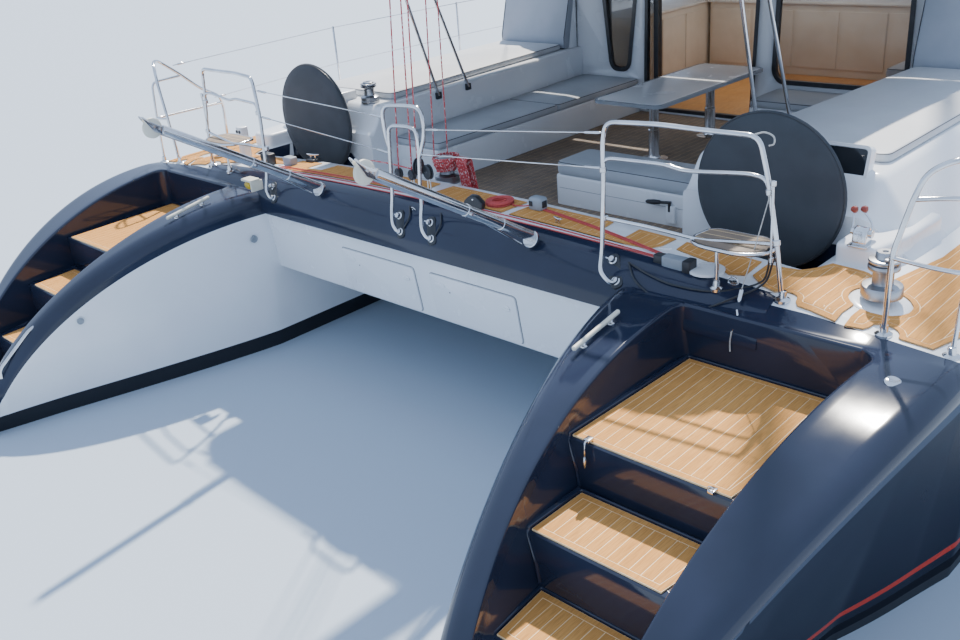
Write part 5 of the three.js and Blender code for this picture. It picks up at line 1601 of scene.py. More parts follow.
def add_awning():
    """Awning: a sheet stretched over cross bows, on steel legs that stand in black shoes on the coamings."""
    u, v = np.meshgrid(np.linspace(-1, 1, 33), np.linspace(0, 1, 45), indexing="ij")
    half = (2.35 + 0.10 * v) * (1 - 0.16 * np.clip(1 - v / 0.09, 0, 1) ** 3)
    x, y = u * half, -4.0 + 4.14 * v
    bows = np.abs(np.sin(4 * np.pi * v))
    z = 3.42 + 0.06 * (1 - u ** 2) - 0.012 * bows * (1 - u ** 4) - 0.02 * u ** 8
    top = np.stack([x, y, z], -1)
    under = top - [0, 0, 0.006]
    closed = np.concatenate([top, under[::-1]])
    cloth = add("awning_cloth", rings(np.transpose(closed, (1, 0, 2))), "dark_canvas", slot="dark_canvas",
                replaces=["awning"], sharp=70)
    across = np.linspace(-1, 1, 21)
    bars = [tube(np.column_stack([across * (2.33 + 0.10 * s - 0.3 * (s == 0)), 0 * across - 3.985 + 4.1 * s,
                                  3.40 + 0.055 * (1 - across ** 2)]), 0.014) for s in (0, 0.25, 0.5, 0.75, 1)]
    shoes = []
    for foot_y, (x_top, y_top) in AWNING_LEGS:
        x_foot = coaming_inner(foot_y) - 0.018
        for s in (1, -1):
            bars.append(tube([(s * x_foot, foot_y, 2.09), (s * x_top, y_top, 3.41)]))
            near, far = sorted((s * (x_foot - 0.012), s * (x_foot + 0.02)))
            shoes.append(box((near, foot_y - 0.035, 2.055), (far, foot_y + 0.035, 2.125), 0.006, 0.004))
    add_steel("awning_bars", bars)
    add("awning_shoes", joined(shoes), "black_plastic")


DOORWAY = [(-1.118, 1.46), (0.295, 1.46), (0.345, 3.06), (-1.09, 3.06)]
TALL_WINDOW = [(-1.62, 1.96), (-1.56, 1.89), (-1.39, 1.89), (-1.33, 1.96), (-1.20, 3.02), (-1.74, 3.02)]
WIDE_WINDOW = [(0.53, 1.99), (0.61, 1.89), (1.88, 1.89), (1.96, 1.97), (1.96, 3.02), (0.56, 3.02)]


def add_bulkhead():
    """Aft wall of the saloon with its doorway and two windows, each in a dark rounded frame."""
    foot, roof, top = 3.48, 2.70, 3.42
    half = [(foot, DECK_Z + 0.012), (foot - 0.01, DECK_Z + 0.162), (roof + 0.06, top - 0.22),
            (roof - 0.12, top - 0.06), (roof * 0.5, top)]
    skirt = [(-2.64, DECK_Z + 0.012), (-2.64, SOLE_Z + 0.001), (2.64, SOLE_Z + 0.001), (2.64, DECK_Z + 0.012)]
    outline = [*half, *[(-x, z) for x, z in half[::-1]], *skirt]
    wall = add("bulkhead_wall", standing(np.array(outline), 0.150, 0.1997, 0.003), "white_gelcoat",
               slot="white_gelcoat", replaces=["saloon_bulkhead"])
    cut(wall, *[standing(rounded(o, 0.05), 0.0, 0.4, 0.001) for o in (DOORWAY, TALL_WINDOW, WIDE_WINDOW)])
    rims = []
    for name, o in (("port", TALL_WINDOW), ("starboard", WIDE_WINDOW)):
        ring = rounded(o, 0.06)
        rims.append(upright(ring_strip(inset(ring, -0.012), inset(ring, 0.035), -0.190, -0.142)))
        add(f"bulkhead_glass_{name}", standing(inset(ring, 0.002), 0.168, 0.180, 0.002), "tinted_glass",
            slot="tinted_glass", replaces=[f"bulkhead_window_{name}"])
    jamb = rounded(DOORWAY, 0.05)
    rims.append(upright(ring_strip(inset(jamb, -0.012), inset(jamb, 0.028), -0.1995, -0.142)))
    add("bulkhead_frames", joined(rims), "black_plastic")
    for name, y in (("outer", 0.215), ("inner", 0.262)):
        leaf = rectangle(-1.756, -0.976, 1.446, 3.074, 0.03)
        bars = upright(ring_strip(leaf, inset(leaf, 0.06), -y - 0.035, -y))
        shoes = [box((x - 0.04, y + 0.008, SOLE_Z + 0.0003), (x + 0.04, y + 0.027, SOLE_Z + 0.03), 0.004,
                     0.002) for x in (-1.656, -1.076)]
        pane = standing(inset(leaf, 0.055), y + 0.012, y + 0.022, 0.002)
        body = f"door_{name}"
        add(f"door_frame_{name}", joined([bars, *shoes]), "black_plastic", body,
            replaces=[f"door_leaf_{name}"])
        add(f"door_pane_{name}", pane, "tinted_glass", body, "tinted_glass")


def add_saloon():
    """What shows through the doorway and windows: a pale floor, counters with doors, and a settee."""
    add("saloon_floor", box((-2.55, 0.26, SOLE_Z), (2.55, 3.9, SOLE_Z + 0.02), 0.02), "oak")
    foot, worktop, seat_top, far = SOLE_Z + 0.02, 2.34, 1.86, 3.3
    counters = [box((-2.5, 1.0, foot), (-1.85, far, worktop), 0.03),
                box((-1.80, 2.7, foot), (1.4, far, worktop), 0.03),
                box((1.5, 0.8, foot), (2.5, far, seat_top), 0.04)]
    fronts = [box((x, 2.685, 1.54), (x + 0.58, 2.70, 2.26), 0.01, 0.004) for x in np.arange(-1.75, 1.3, 0.62)]
    fronts += [box((-1.85, y, 1.54), (-1.835, y + 0.52, 2.26), 0.004, 0.004)
               for y in np.arange(1.05, 2.6, 0.56)]
    add("saloon_counters", joined(counters), "beige_panel")
    add("saloon_doors", joined(fronts), "beige_panel")
    tops = [box((-2.52, 0.98, worktop), (-1.82, far + 0.02, worktop + 0.03), 0.02),
            box((-1.82, 2.67, worktop), (1.42, far + 0.02, worktop + 0.03), 0.02)]
    add("saloon_tops", joined(tops), "warm_white")
    seat = [(1.47, 0.82), (2.48, 0.82), (2.48, far - 0.02), (1.47, far - 0.02)]
    cushion("saloon_settee", seat, seat_top + 0.001, 1.98, "cream_vinyl")


add_rails()
add_davits()
add_winches()
add_table()
add_awning()
add_bulkhead()
add_saloon()

# Rig: boom and its sail bag, furled headsail, mast, net, and the sheets that come down to the beam.

MAST_Y = 1.7
BOOM_Z = 4.65
BAG_Z = 4.76
BAG_TIES = (-3.6, -2.4, -1.2, 0.0, 0.95)
BAG_Y = (-4.44, -1.64, 1.19)


def add_boom():
    """Boom, and the mainsail in its bag: sections that swell towards the mast, drawn in at the ties."""
    spar = standing(rectangle(-0.075, 0.075, 4.52, 4.78, 0.045), -4.59, 1.31, 0.012)
    eye = turned([(0.040, -0.044), (0.040, 0.044)], (0, 1.46, BOOM_Z))
    neck = box((-0.030, 1.300, 4.606), (0.030, 1.450, 4.694), 0.006)
    add("boom_spar", joined([spar, eye, neck]), "alloy", "boom", "spar_alloy", ["boom"])
    caps = [standing(rectangle(-0.079, 0.079, 4.516, 4.784, 0.047), y, y + 0.03, 0.006)
            for y in (-4.592, 1.282)]
    hangers = [sideways(rounded([(y - 0.05, 4.44), (y + 0.05, 4.44), (y + 0.03, 4.53), (y - 0.03, 4.53)],
                                0.02), -0.02, 0.02, 0.004) for y in (-4.54, -4.23)]
    add("boom_ends", joined(caps + hangers), "black_plastic", "boom")
    y = np.linspace(BAG_Y[0], BAG_Y[-1], 120)[:, None]
    shape = rounded([(-0.6, 0), (0.6, 0), (1, 0.5), (0.3, 1), (-0.3, 1), (-1, 0.5)], 0.42, 7)
    drawn = 1 - 0.13 * np.exp(-((y - np.array(BAG_TIES)) / 0.09) ** 2).sum(1, keepdims=True)
    half = np.interp(y, BAG_Y, [0.11, 0.21, 0.24]) * drawn
    high = np.interp(y, BAG_Y, [0.26, 0.48, 0.76]) * (0.6 + 0.4 * drawn)
    folds = 1 + 0.03 * np.sin(9 * y + 4 * shape[:, 1]) * np.sin(np.pi * shape[:, 1])
    sections = np.stack([half * shape[:, 0] * folds, y + 0 * shape[:, 0], BAG_Z + high * shape[:, 1]], -1)
    bag = add("sail_bag", rings(sections), "dark_canvas", "boom", "dark_canvas", sharp=60)
    ties = [hoop(sections[int(np.abs(y[:, 0] - tie).argmin())] * [1.02, 1, 1], 0.007) for tie in BAG_TIES]
    add("sail_bag_ties", joined(ties), "dark_piping", "boom")


STAY_FOOT = np.array([0, 6.8, 1.735])
STAY_TOP = np.array([0, MAST_Y + 0.1, 19.6])


def add_furled_sail():
    """Headsail rolled on its stay over its drum, with a ridge that winds along it where the leech lies."""
    t = np.linspace(0.04, 0.96, 300)[:, None]
    path = STAY_FOOT + (STAY_TOP - STAY_FOOT) * t
    u, v = frames(path)
    a = angles(28)[None, :]
    ridge = np.exp(5 * (np.cos(a - 2 * np.pi * 15 * t) - 1))
    taper = np.clip((t - 0.036) / 0.02, 0.35, 1) * np.clip((0.965 - t) / 0.06, 0.3, 1)
    radius = ((0.080 + 0.012 * ridge) * taper)[..., None]
    roll = rings(path[:, None] + radius * (np.cos(a)[..., None] * u[:, None]
                                           + np.sin(a)[..., None] * v[:, None]))
    piece = add("headsail_roll", roll, "sail_cloth", slot="sail_cloth", replaces=["furled_headsail"],
                sharp=60)
    along = unit(STAY_TOP - STAY_FOOT)
    drum = [(0.030, -0.03), (0.088, 0.0), (0.090, 0.02), (0.050, 0.03), (0.050, 0.16), (0.090, 0.17),
            (0.088, 0.19), (0.035, 0.22), (0.030, 0.55)]
    steel = [tube([STAY_FOOT - along * 0.05, STAY_TOP], 0.009, 10),
             turned(drum, STAY_FOOT + along * 0.22, along)]
    add("headsail_furler", joined(steel), "alloy", slot="stainless")


def add_mast():
    """An oval mast, narrower above, with a sail track, two pairs of spreaders and its heel."""
    z = np.array([3.49, 3.5, 6.0, 9.0, 12.0, 16.0, 18.0, 20.0, 21.78, 21.8])[:, None]
    scale = np.interp(z, [16.0, 21.8], [1.0, 0.7])
    a = angles(44)[None, :]
    tube_rings = np.stack([0.105 * scale * np.sin(a), MAST_Y + 0.170 * scale * np.cos(a), z + 0 * a], -1)
    corners = ((-1, -1), (1, -1), (1, 1), (-1, 1))
    track = [[x * 0.012, MAST_Y - 0.178 * s - 0.012 * y, level]
             for level, s in ((3.6, 1.0), (16.0, 1.0), (21.7, 0.71)) for x, y in corners]
    heel = turned([(0.230, 0.0), (0.230, 0.03), (0.200, 0.05), (0.180, 0.10)], (0, MAST_Y, 3.42), sides=40)
    ears = [box((-0.045, 1.415, z_ear - 0.015), (0.045, 1.560, z_ear + 0.015), 0.02, 0.004)
            for z_ear in (BOOM_Z - 0.06, BOOM_Z + 0.06)]
    pin = turned([(0.018, -0.085), (0.018, 0.085)], (0, 1.46, BOOM_Z), sides=16)
    spreaders = []
    for i, z_root in enumerate((9.2, 14.8)):
        for s in (1, -1):
            root = np.array([0, MAST_Y, z_root])
            tip = root + [s * (1.4 - 0.35 * i), -0.5, 0.12]
            along = unit(tip - root)
            chord = unit(np.cross(along, [0, 0, 1]))
            thick = np.cross(chord, along)
            oval = angles(18)[None, :, None]
            reach = np.array([[0.0, 0.042], [0.8, 0.032], [1.0, 0.022]])[:, :, None]
            centre = root + (tip - root) * reach[:, 0]
            edge = np.cos(oval) * chord + 0.45 * np.sin(oval) * thick
            spreaders.append(rings(centre[:, None] + reach[:, 1, :, None] * edge))
    parts = [rings(tube_rings), rings(np.array(track).reshape(3, 4, 3)), heel, *ears, pin, *spreaders]
    add("mast_tube", joined(parts), "alloy", slot="spar_alloy", replaces=["mast"])


def add_net():
    """The net between the bows: strands both ways, laced along its edges."""
    aft, fore, level = 5.212, 6.690, 1.604
    mesh = 0.045
    strands = []
    for y in np.arange(aft + 0.02, fore, mesh):
        half = float(inner_at(y)) - 0.004
        strands.append(tube([(-half, y, level), (half, y, level)], 0.0028, 4))
    for x in np.arange(-2.66, 2.67, mesh):
        start = max(aft, float(BOW_Y * max(abs(x) - HULL_INNER + 0.004, 0) ** (1 / 2.2)))
        if start < fore - 0.05:
            strands.append(tube([(x, start, level), (x, fore, level)], 0.0028, 4))
    y = np.linspace(aft, fore, 12)
    for s in (1, -1):
        strands.append(tube(np.column_stack([s * (inner_at(y) - 0.012), y, 0 * y + level]), 0.009, 8))
    for y in (aft, fore):
        half = float(inner_at(y)) - 0.012
        strands.append(tube([(-half, y, level), (half, y, level)], 0.009, 8))
    add("bow_net", joined(strands), "black_plastic", slot="black_net", replaces=["trampoline"])
    add("bow_beam", turned([(0.105, -2.86), (0.105, 2.86)], (0, 6.8, 1.64), (1, 0, 0), 40), "alloy",
        slot="spar_alloy", replaces=["crossbeam"])


def pulley(at, radius=0.055, axle=(0, 1, 0), foot=None):
    """A block: two round cheeks with a sheave between them, and a strap to a ring where it has a foot."""
    r = radius
    profile = [(0.0, -0.022), (r * 0.85, -0.022), (r, -0.016), (r, -0.009), (r * 0.8, 0.0), (r, 0.009),
               (r, 0.016), (r * 0.85, 0.022), (0.0, 0.022)]
    dark = [turned(profile, at, axle, 28)]
    steel = [turned([(0.010, -0.028), (0.010, 0.028)], at, axle, 12)]
    if foot is not None:
        at, foot = np.array(at), np.array(foot)
        strap = [at + [0.014, 0, -r * 0.8], foot + [0.016, 0, 0.03], foot, foot + [-0.016, 0, 0.03],
                 at + [-0.014, 0, -r * 0.8]]
        steel.append(tube(flowing(strap, 24), 0.005, 8))
    return dark, steel


def beam_z(x, y):
    """Height of the beam's skin: flat to its edge, then down its round aft face."""
    share = np.clip((BEAM_EDGE_Y - y) / BEAM_REACH, 0, 1)
    return SOLE_Z + (beam_top(x) - SOLE_Z) * np.sqrt(1 - share ** 2)


def laid(points, radius=0.005, lift=0.0):
    """A line that lies along the beam's skin, given by x and y."""
    path = flowing([(x, y, 0.0) for x, y in points], 50)
    path[:, 2] = beam_z(path[:, 0], path[:, 1]) + radius + lift
    return tube(path, radius, 8)


# Columns: x, height and radius of each block on the beam.
BLOCKS = ((-0.402, 1.94, 0.045), (-0.236, 1.95, 0.045), (-0.150, 2.03, 0.072), (-0.040, 2.00, 0.062))
BLOCK_Y = -4.45
BOOM_EYES_Z = 4.47
SHEET_RADIUS = 0.0056
# Where each fall starts, at a block or at the winch, and where it ends below the boom.
FALLS = (
    ((-0.402, BLOCK_Y, 1.95), (-0.04, -4.57, BOOM_EYES_Z)),
    ((-0.239, BLOCK_Y, 1.96), (0.03, -4.55, BOOM_EYES_Z)),
    ((-0.160, BLOCK_Y, 2.06), (0.05, -4.50, BOOM_EYES_Z)),
    ((-0.475, -3.965, 1.96), (0.0, -4.27, BOOM_EYES_Z)),
    ((-0.430, -3.845, 1.93), (0.03, -4.20, BOOM_EYES_Z)),
)


def add_mainsheet():
    """The mainsheet's tackle: falls between boom and blocks on the beam, and its tail to the winch."""
    dark, steel = [], []
    for x, z, radius in BLOCKS:
        foot = (x, BLOCK_Y, float(beam_top(x)) + 0.006)
        axle = (0.25, 1, 0) if radius < 0.065 else (1, 0.35, 0)
        cheeks, strap = pulley((x, BLOCK_Y, z), radius, axle, foot)
        dark += cheeks
        steel += strap
        steel.append(turned([(0.026, -0.004), (0.026, 0.004), (0.012, 0.012)], foot, sides=18))
    add("sheet_blocks", joined(dark), "black_plastic")
    add_steel("sheet_shackles", steel)
    falls = [tube(np.linspace(a, b, 30), SHEET_RADIUS, 8) for a, b in FALLS]
    sheet = add("mainsheet_falls", joined(falls), "fleck_rope", body=None)
    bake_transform(sheet)
    tail = [(x, BLOCK_Y, z) for x, z in ((-0.24, 2.00), (-0.50, 2.010), (-0.76, 2.005), (-0.98, 1.90))]
    add("mainsheet_tail", tube(bent(tail, 0.05), SHEET_RADIUS, 8), "fleck_rope")


def add_winch_turns():
    """Turns of sheet on its winch: a helix that swells at the middle, up the drum and down again."""
    x, y = SHEET_WINCH
    a = np.linspace(0, 2 * np.pi * 15, 420)
    share = a / a[-1]
    radius = 0.079 + 0.036 * np.sin(np.pi * share) + 0.003 * np.sin(a * 0.37)
    level = np.where(share < 0.5, 1.825 + 0.13 * share * 2, 1.955 - 0.12 * (share - 0.5) * 2)
    turns = np.column_stack([x + radius * np.cos(a), y + radius * np.sin(a), level + 0.008 * np.sin(a + 1.0)])
    add("winch_turns", tube(turns, 0.0062, 8), "fleck_rope")


def hank_path(x, y):
    """The hank's loops, one behind another: down its side, round its foot, up again, round its top."""
    count, run, bend = 9, 0.26, 0.034
    side = np.concatenate([np.linspace(0, 1, 24, endpoint=False), np.linspace(1, 2, 12, endpoint=False),
                           np.linspace(2, 3, 24, endpoint=False), np.linspace(3, 4, 12, endpoint=False)])
    k = np.arange(count)[:, None] + side[None, :] / 4
    q = side[None, :] + 0 * k
    down = run + 0.05 * np.sin(2.3 * np.floor(k))
    turn = np.pi * (q % 1)
    legs = [q < 1, q < 2, q < 3]
    along = np.select(legs, [-down * (q % 1), -down - bend * np.sin(turn), -down * (1 - q % 1)],
                      bend * np.sin(turn))
    across = np.select(legs, [0 * q - bend, -bend * np.cos(turn), 0 * q + bend], bend * np.cos(turn))
    out = 0.0135 * k - along * 0.22
    return np.stack([x + 0.155 + out, y + 0.01 + across, 1.93 + along], -1).reshape(-1, 3)


def add_hank():
    """The rest of the sheet, led off the winch and hung there in a hank."""
    x, y = SHEET_WINCH
    hank = hank_path(x, y)
    lead = flowing([(x + 0.085, y - 0.052, 1.905), (x + 0.115, y - 0.050, 1.928),
                    (x + 0.140, y - 0.036, 1.945), hank[0] + [0, 0, 0.006]], 12)[:-1]
    add_cord("winch_hank", np.concatenate([lead, hank]), 0.0115, "fleck_rope")


def add_cord(name, path, thick, look):
    """A cord along its own line, with a bare end."""
    piece = add(name, tube(path, thick / 2, 8), look)


def add_control_lines():
    """Red lines along the beam, and the coil of their tail that ends in the grey box."""
    lines = [laid([(-2.30, -4.500), (-0.8, -4.505), (0.8, -4.500), (2.22, -4.512)]),
             laid([(-2.30, -4.548), (-0.8, -4.552), (0.8, -4.548), (2.22, -4.530)]),
             laid([(0.99, -4.240), (1.6, -4.340), (2.22, -4.470)], 0.006, 0.008),
             laid([(1.00, -4.264), (1.6, -4.362), (2.22, -4.492)], 0.006, 0.008),
             laid([(-2.20, -4.420), (-1.4, -4.432), (-0.60, -4.420)], 0.005, 0.008),
             laid([(-2.20, -4.445), (-1.4, -4.452), (-0.60, -4.442)], 0.005, 0.002)]
    add("control_lines", joined(lines), "red_rope")
    thick = 0.0105
    base = float(beam_top(0.58)) + 0.008 + thick / 2
    turns, layers = 6, 3
    a = np.linspace(0, 2 * np.pi * turns * layers, 60 * turns * layers)
    layer = a / (2 * np.pi * turns)
    inward = np.abs((layer + 1) % 2 - 1)
    radius = 0.109 - (turns - 1) * thick * inward
    climb = np.clip((layer % 1 - 0.92) / 0.08, 0, 1)
    level = base + 1.03 * thick * (np.floor(layer) + eased(climb)) * (layer < layers - 0.001)
    level[-1] = level[-2]
    coil = np.column_stack([0.612 + radius * np.cos(a + 0.5), -4.322 + 1.04 * radius * np.sin(a + 0.5),
                            level])
    lead = flowing([(0.890, -4.270, base + 0.014), (0.840, -4.282, base), (0.770, -4.310, base),
                    (0.725, -4.300, base), coil[0]], 24)[:-1]
    add_cord("control_coil", np.concatenate([lead, coil[:-3]]), thick, "red_rope")


def lifeline(a, b):
    """A taut wire between two points, with a long swage at each end."""
    a, b = np.array(a), np.array(b)
    along = unit(b - a)
    swage = [(0.005, 0.015), (0.010, 0.025), (0.010, 0.13), (0.0055, 0.15)]
    return [tube([a, (a + b) / 2, b], 0.0042, 8), turned(swage, a, along, 12), turned(swage, b, -along, 12)]


# Both ends of each wire across the stern.
LIFELINES = (
    ((-1.900, -4.720, 2.560), (-0.170, HOOP_Y, 2.500)),
    ((-1.885, -4.730, 2.330), (-0.130, HOOP_Y, 2.220)),
    ((0.300, HOOP_Y, 2.450), (1.935, -4.720, 2.600)),
    ((0.210, HOOP_Y, 2.250), (1.932, -4.724, 2.370)),
)


def horn_cleat(at, along=(1, 0, 0), length=0.15):
    """A cleat: two horns on a pair of posts."""
    at, along = np.array(at, float), unit(np.array(along, float))
    half = length / 2
    place = lambda share, up: at + along * half * share + [0, 0, up]
    rises = ((-1, 0.042), (-0.5, 0.036), (0, 0.034), (0.5, 0.036), (1, 0.042))
    horns = flowing([place(share, up) for share, up in rises], 24)
    thick = 0.010 * (1 - 0.6 * np.abs(np.linspace(-1, 1, 24)) ** 3)
    posts = [tube([place(share, -0.004), place(share, 0.036)], 0.009, 10) for share in (-0.35, 0.35)]
    return joined([tube(horns, thick, 10), *posts])


def grab_bar(sign):
    """A round bar along the arch on two scalloped feet. The stainless bar is cream, a painted highlight that
    stands for the white shine along it.
    """
    y = np.array([-5.15, -5.58])
    x = 2.347
    ends = [(sign * x, v, float(top_at(x, v)) + 0.040) for v in y]
    feet = []
    for share in (0.16, 0.80):
        at = np.array(ends[0]) + (np.array(ends[1]) - np.array(ends[0])) * share
        feet.append(turned([(0.026, -0.044), (0.026, -0.036), (0.016, -0.030), (0.012, -0.006)], at,
                           (0, 0.12, 1), 16))
    along = unit(np.array(ends[1]) - np.array(ends[0]))
    bar = turned([(0.010, -0.008), (0.016, 0.0), (0.016, 0.45), (0.010, 0.458)], ends[0], along, 18)
    return bar, joined(feet)


def deck_low(x):
    """Just under the deck beside the beam."""
    return float(deck_height(x, -4.3)) - 0.004


# Boxes on the beam. Columns: near and far corner in x and y, where the beam's height is taken, bottom and
# top over it, corner and edge.
GREY_BOXES = (
    ((0.888, -4.305), (1.015, -4.205), 0.93, 0.0, 0.105, 0.03, 0.024),
    ((-2.195, -4.375), (-2.065, -4.285), 2.13, 0.0, 0.085, 0.02, 0.010),
    ((2.285, -4.590), (2.450, -4.505), 2.4, -0.02, 0.055, 0.016, 0.008),
)
DARK_BOXES = (
    ((0.980, -4.282), (1.021, -4.228), 0.93, 0.028, 0.080, 0.01, 0.004),
    ((-2.480, -4.440), (-2.335, -4.340), 2.4, 0.0, 0.115, 0.03, 0.016),
    ((-2.060, -4.205), (-1.945, -4.090), 2.0, 0.0, 0.035, 0.02, 0.008),
    ((2.215, -4.580), (2.295, -4.512), 2.3, -0.02, 0.045, 0.012, 0.006),
    ((0.904, -4.311), (0.938, -4.300), 0.93, 0.040, 0.078, 0.004, 0.002),
    ((2.445, -4.598), (2.505, -4.497), 2.5, -0.02, 0.062, 0.016, 0.008),
)
CLUTCH = np.array([0.520, -4.505])
CLUTCH_ALONG = np.array([0.94, 0.342])


def boxes_on_beam(rows):
    return [box((*near, float(beam_top(x)) + low), (*far, float(beam_top(x)) + high), radius, edge)
            for near, far, x, low, high, radius, edge in rows]


def rope_clutch():
    """The clutch's body, askew on the beam, and three rivets on its aft face."""
    level = float(beam_top(CLUTCH[0]))
    side = [(-0.070, -0.020), (0.066, -0.020), (0.078, 0.050), (0.030, 0.105), (-0.030, 0.112),
            (-0.078, 0.070)]
    along, across = (*CLUTCH_ALONG, 0), (-CLUTCH_ALONG[1], CLUTCH_ALONG[0], 0)
    body = moved(standing(rounded(side, 0.014), -0.034, 0.034, 0.006), (*CLUTCH, level), x=along, y=across)
    rivet = [(0.008, 0.032), (0.008, 0.037), (0.005, 0.040)]
    rivets = [turned(rivet, (*(CLUTCH + CLUTCH_ALONG * d), level + h), (0.342, -0.94, 0), 10)
              for d, h in ((-0.050, 0.010), (0.045, 0.010), (0.0, 0.085))]
    return body, rivets


def add_beam_fittings():
    """Small gear on the beam and the decks beside it."""
    top = lambda x: float(beam_top(x))
    clutch, rivets = rope_clutch()
    sockets = [turned([(0.017, 0.0), (0.017, 0.006), (0.009, 0.007)], (x, -4.345, 1.99), (0, -1, 0), 16)
               for x in (-2.960, -2.912)]
    hatch = turned([(0.118, -0.010), (0.118, 0.006), (0.108, 0.010), (0.0, 0.010)],
                   (2.570, -4.492, top(2.57)), sides=40)
    lever = moved(box((-0.013, -0.065, 0.0), (0.013, 0.065, 0.014), 0.006, 0.004),
                  (2.262, -4.505, top(2.26) + 0.062), x=unit(np.array([0.35, 1, 0])),
                  y=unit(np.array([1, -0.35, 0.25])), z=unit(np.array([-0.25, 0.08, 1])))
    socket_box = box((-2.985, -4.345, deck_low(2.94)), (-2.885, -4.255, 2.035), 0.02, 0.010)
    eye = [hoop(loop_at((2.80, -4.562, 1.716), 0.034, 0.030, 20), 0.006),
           turned([(0.036, -0.012), (0.036, 0.0), (0.024, 0.006)], (2.80, -4.562, 1.700), (0, -0.4, 1), 18)]
    cleats = [horn_cleat((-2.003, -4.147, top(2.0) + 0.033), (1, 0.25, 0)),
              horn_cleat((1.280, -4.420, top(1.28) + 0.008), (1, -0.2, 0), 0.09)]
    small_winch = winch((-3.322, -4.35, float(deck_height(-3.322, -4.35))), 0.062, 0.15)
    filler = turned([(0.045, -0.006), (0.045, 0.003), (0.038, 0.007), (0.0, 0.008)],
                    (4.008, -5.034, float(top_at(4.008, -5.034))), (0.25, -0.2, 1), 24)
    (right_bar, right_feet), (left_bar, left_feet) = grab_bar(1), grab_bar(-1)
    steel = [eye[0], *cleats, eye[1], *rivets, small_winch, filler, right_feet, left_feet]
    add("beam_boxes", joined(boxes_on_beam(GREY_BOXES)), "grey_plastic")
    add("beam_blocks", joined([clutch, *boxes_on_beam(DARK_BOXES), *sockets]), "black_plastic")
    add("beam_white_parts", joined([hatch, lever, socket_box]), "white_gelcoat")
    add_steel("beam_steel", steel)
    # Painted highlight: the stainless bars are cream to stand for the white shine along them.
    add("grab_bars", joined([right_bar, left_bar]), "cream_plastic")


def add_lamp_and_vents():
    """A yellow lamp under its cap on the port quarter, and two vents in the port hull's inner side."""
    lamp = np.array([-2.075, -4.850, 1.697])
    glass = [(0.0, -0.050), (0.034, -0.045), (0.040, -0.02), (0.040, 0.02), (0.034, 0.045), (0.0, 0.050)]
    add("lamp_glass", turned(glass, lamp, (1, -0.1, 0), 24), "yellow_plastic")
    cap = [box(lamp + [-0.075, -0.045, 0.040], lamp + [0.080, 0.065, 0.062], 0.012, 0.006),
           box(lamp + [0.062, -0.040, -0.050], lamp + [0.080, 0.090, 0.045], 0.006, 0.004)]
    add("lamp_cap", joined(cap), "cream_plastic")
    high = (-float(inner_at(-4.921)) - 0.002, -4.921, 1.188)
    low = (-inner_at(-6.55) + 0.002, -6.55, 0.85)
    large = [(0.036, -0.004), (0.036, 0.008), (0.028, 0.014), (0.014, 0.010), (0.0, 0.010)]
    small = [(0.030, -0.004), (0.030, 0.004), (0.022, 0.006), (0.018, 0.002)]
    vents = [turned(large, high, (1, 0, 0), 28), turned(small, low, (1, -0.26, 0), 24)]
    add("vents", joined(vents), "grey_plastic")


def add_stern_catches():
    """The port ladder's handrail, two catches on the upper starboard step, and the snap under the rail."""
    handrail = bent([(-2.660, -6.784, 0.800), (-2.660, -6.800, 0.881), (-2.660, -6.916, 0.862),
                     (-2.720, -7.230, 0.579), (-2.722, -7.236, 0.500)], 0.05)
    plates = [box((x - 0.020, -6.012, z - 0.012), (x + 0.020, -5.962, z + 0.006), 0.008, 0.003)
              for x, z in ((2.75, 1.26), (3.53, 1.245))]
    strap = flowing([(2.75, -5.99, 1.262), (2.752, -6.025, 1.250), (2.755, -6.035, 1.200),
                     (2.752, -6.03, 1.165)], 16)
    weight = turned([(0.008, 0.0), (0.013, 0.012), (0.013, 0.055), (0.006, 0.070)], (2.752, -6.032, 1.165),
                    (0, 0, -1), 12)
    ring = hoop(loop_at((3.53, -6.008, 1.262), 0.016, 0.014), 0.004)
    swivel = turned([(0.006, 0.0), (0.014, 0.010), (0.014, 0.070), (0.008, 0.085)], (2.919, -4.660, 1.730),
                    (0.1, -0.55, -0.8), 14)
    snap = flowing([(2.934, -4.740, 1.622), (2.950, -4.760, 1.600), (2.960, -4.775, 1.560),
                    (2.932, -4.785, 1.500)], 16)
    steel = [tube(handrail, TUBE), *plates, tube(strap, 0.006, 8), weight, ring, swivel, tube(snap, 0.007, 8)]
    add_steel("stern_catches", steel)


def add_stern_lines():
    """The tackle's thin line, the dock line from the starboard rail to the beam and back, and a loop."""
    tackle = [tube([(3.050, -4.605, 2.350), (2.985, -4.632, 2.03), (2.919, -4.660, 1.735)], 0.0035, 8),
              tube(flowing([(2.934, -4.795, 1.500), (2.928, -4.800, 1.430), (2.932, -4.803, 1.366)], 12),
                   0.005, 8)]
    add("tackle_line", joined(tackle), "pale_rope")
    loose = [[(3.050, -4.600, 2.000), (3.010, -4.520, 1.830), (2.946, -4.520, 1.720), (2.736, -4.665, 1.672),
              (2.460, -4.705, 1.666), (2.259, -4.690, 1.690), (2.070, -4.650, 1.722)],
             [(2.075, -4.655, 1.722), (2.200, -4.745, 1.640), (2.420, -4.775, 1.560), (2.650, -4.775, 1.560),
              (2.860, -4.700, 1.660), (3.020, -4.590, 1.760), (3.085, -4.600, 1.930)]]
    add("dock_line", joined([tube(flowing(points), 0.0065, 8) for points in loose]), "black_plastic")
    ring = [(2.930, -4.602, 2.672), (2.990, -4.600, 2.690), (3.045, -4.597, 2.672), (3.050, -4.596, 2.630),
            (3.020, -4.597, 2.615)]
    add("rail_loop", tube(flowing(ring, 24), 0.005, 8), "pale_rope")


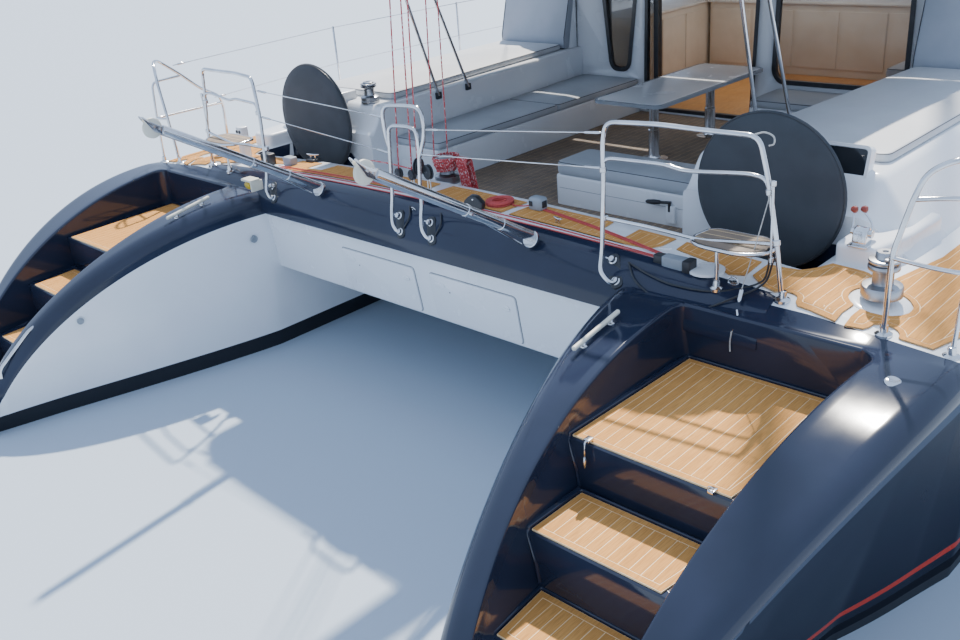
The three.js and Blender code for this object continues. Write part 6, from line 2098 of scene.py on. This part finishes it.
def add_bench_fittings():
    """The winch handle in its holder on the starboard bench, and the seam along the bench's front."""
    pocket = box((1.420, -3.232, 1.460), (1.505, -3.199, 1.610), 0.010, 0.006)
    add("handle_pocket", pocket, "white_gelcoat")
    grip = [tube([(1.452, -3.225, 1.560), (1.452, -3.225, 1.640)], 0.013, 12),
            tube([(1.470, -3.230, 1.640), (1.400, -3.245, 1.636), (1.372, -3.250, 1.634)], 0.012, 12),
            turned([(0.008, 0.0), (0.018, 0.010), (0.021, 0.06), (0.017, 0.12), (0.008, 0.135)],
                   (1.385, -3.248, 1.635), (-1, -0.12, -0.05), 16)]
    add("winch_handle", joined(grip), "black_plastic")
    add("bench_seam", box((0.29, -3.2008, 1.585), (1.73, -3.199, 1.588), 0.001, 0.0003), "seam_grey")


add_boom()
add_furled_sail()
add_mast()
add_net()
add_mainsheet()
add_winch_turns()
add_hank()
add_control_lines()
add_steel("stern_lifelines", [part for ends in LIFELINES for part in lifeline(*ends)])
add_beam_fittings()
add_lamp_and_vents()
add_stern_catches()
add_stern_lines()
add_bench_fittings()

# The finish of each node that keeps showing, by the start of its name.
NODE_LOOKS = {"coachroof": "white_gelcoat", "side_window": "tinted_glass", "front_window": "tinted_glass",
              "shroud": "steel", "bowsprit": "alloy", "rudder": "antifouling", "propeller": "bronze"}


def dress_nodes():
    """Nodes with no piece of their own here get their finish."""
    for start, look in NODE_LOOKS.items():
        for name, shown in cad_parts.items():
            if name.startswith(start):
                shown.data.materials.clear()
                shown.data.materials.append(FINISHES[look])


dress_nodes()


def make_stage():
    """A pale floor at the waterline and soft studio light."""
    data = bpy.data.meshes.new("floor")
    half = 60.0
    data.from_pydata([(-half, -half, 0), (half, -half, 0), (half, half, 0), (-half, half, 0)], [],
                     [(0, 1, 2, 3)])
    floor = bpy.data.objects.new("floor", data)
    bpy.context.scene.collection.objects.link(floor)
    data.materials.append(finish("floor_paint", (0.43, 0.50, 0.58), Roughness=0.7))
    floor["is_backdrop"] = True
    sun = bpy.data.lights.new("key", "SUN")
    sun.energy, sun.angle = 9.0, np.radians(1.2)
    sun.color = (1.0, 0.95, 0.87)
    key = bpy.data.objects.new("key", sun)
    key.rotation_euler = Vector((0.281, -0.568, -0.773)).to_track_quat("-Z", "Y").to_euler()
    bpy.context.scene.collection.objects.link(key)
    cabin = bpy.data.lights.new("cabin", "AREA")
    cabin.energy, cabin.size, cabin.color = 17.0, 2.0, (1.0, 0.97, 0.94)
    lamp = bpy.data.objects.new("cabin", cabin)
    lamp.location = (0, 1.7, 3.2)
    bpy.context.scene.collection.objects.link(lamp)
    world = bpy.data.worlds.new("studio")
    world.use_nodes = True
    background = world.node_tree.nodes["Background"]
    background.inputs["Color"].default_value = (0.52, 0.67, 0.94, 1)
    background.inputs["Strength"].default_value = 1.5
    bpy.context.scene.world = world


make_stage()

low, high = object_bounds()
{"cad": [list(cad_low), list(cad_high)], "visual": [list(low), list(high)]}
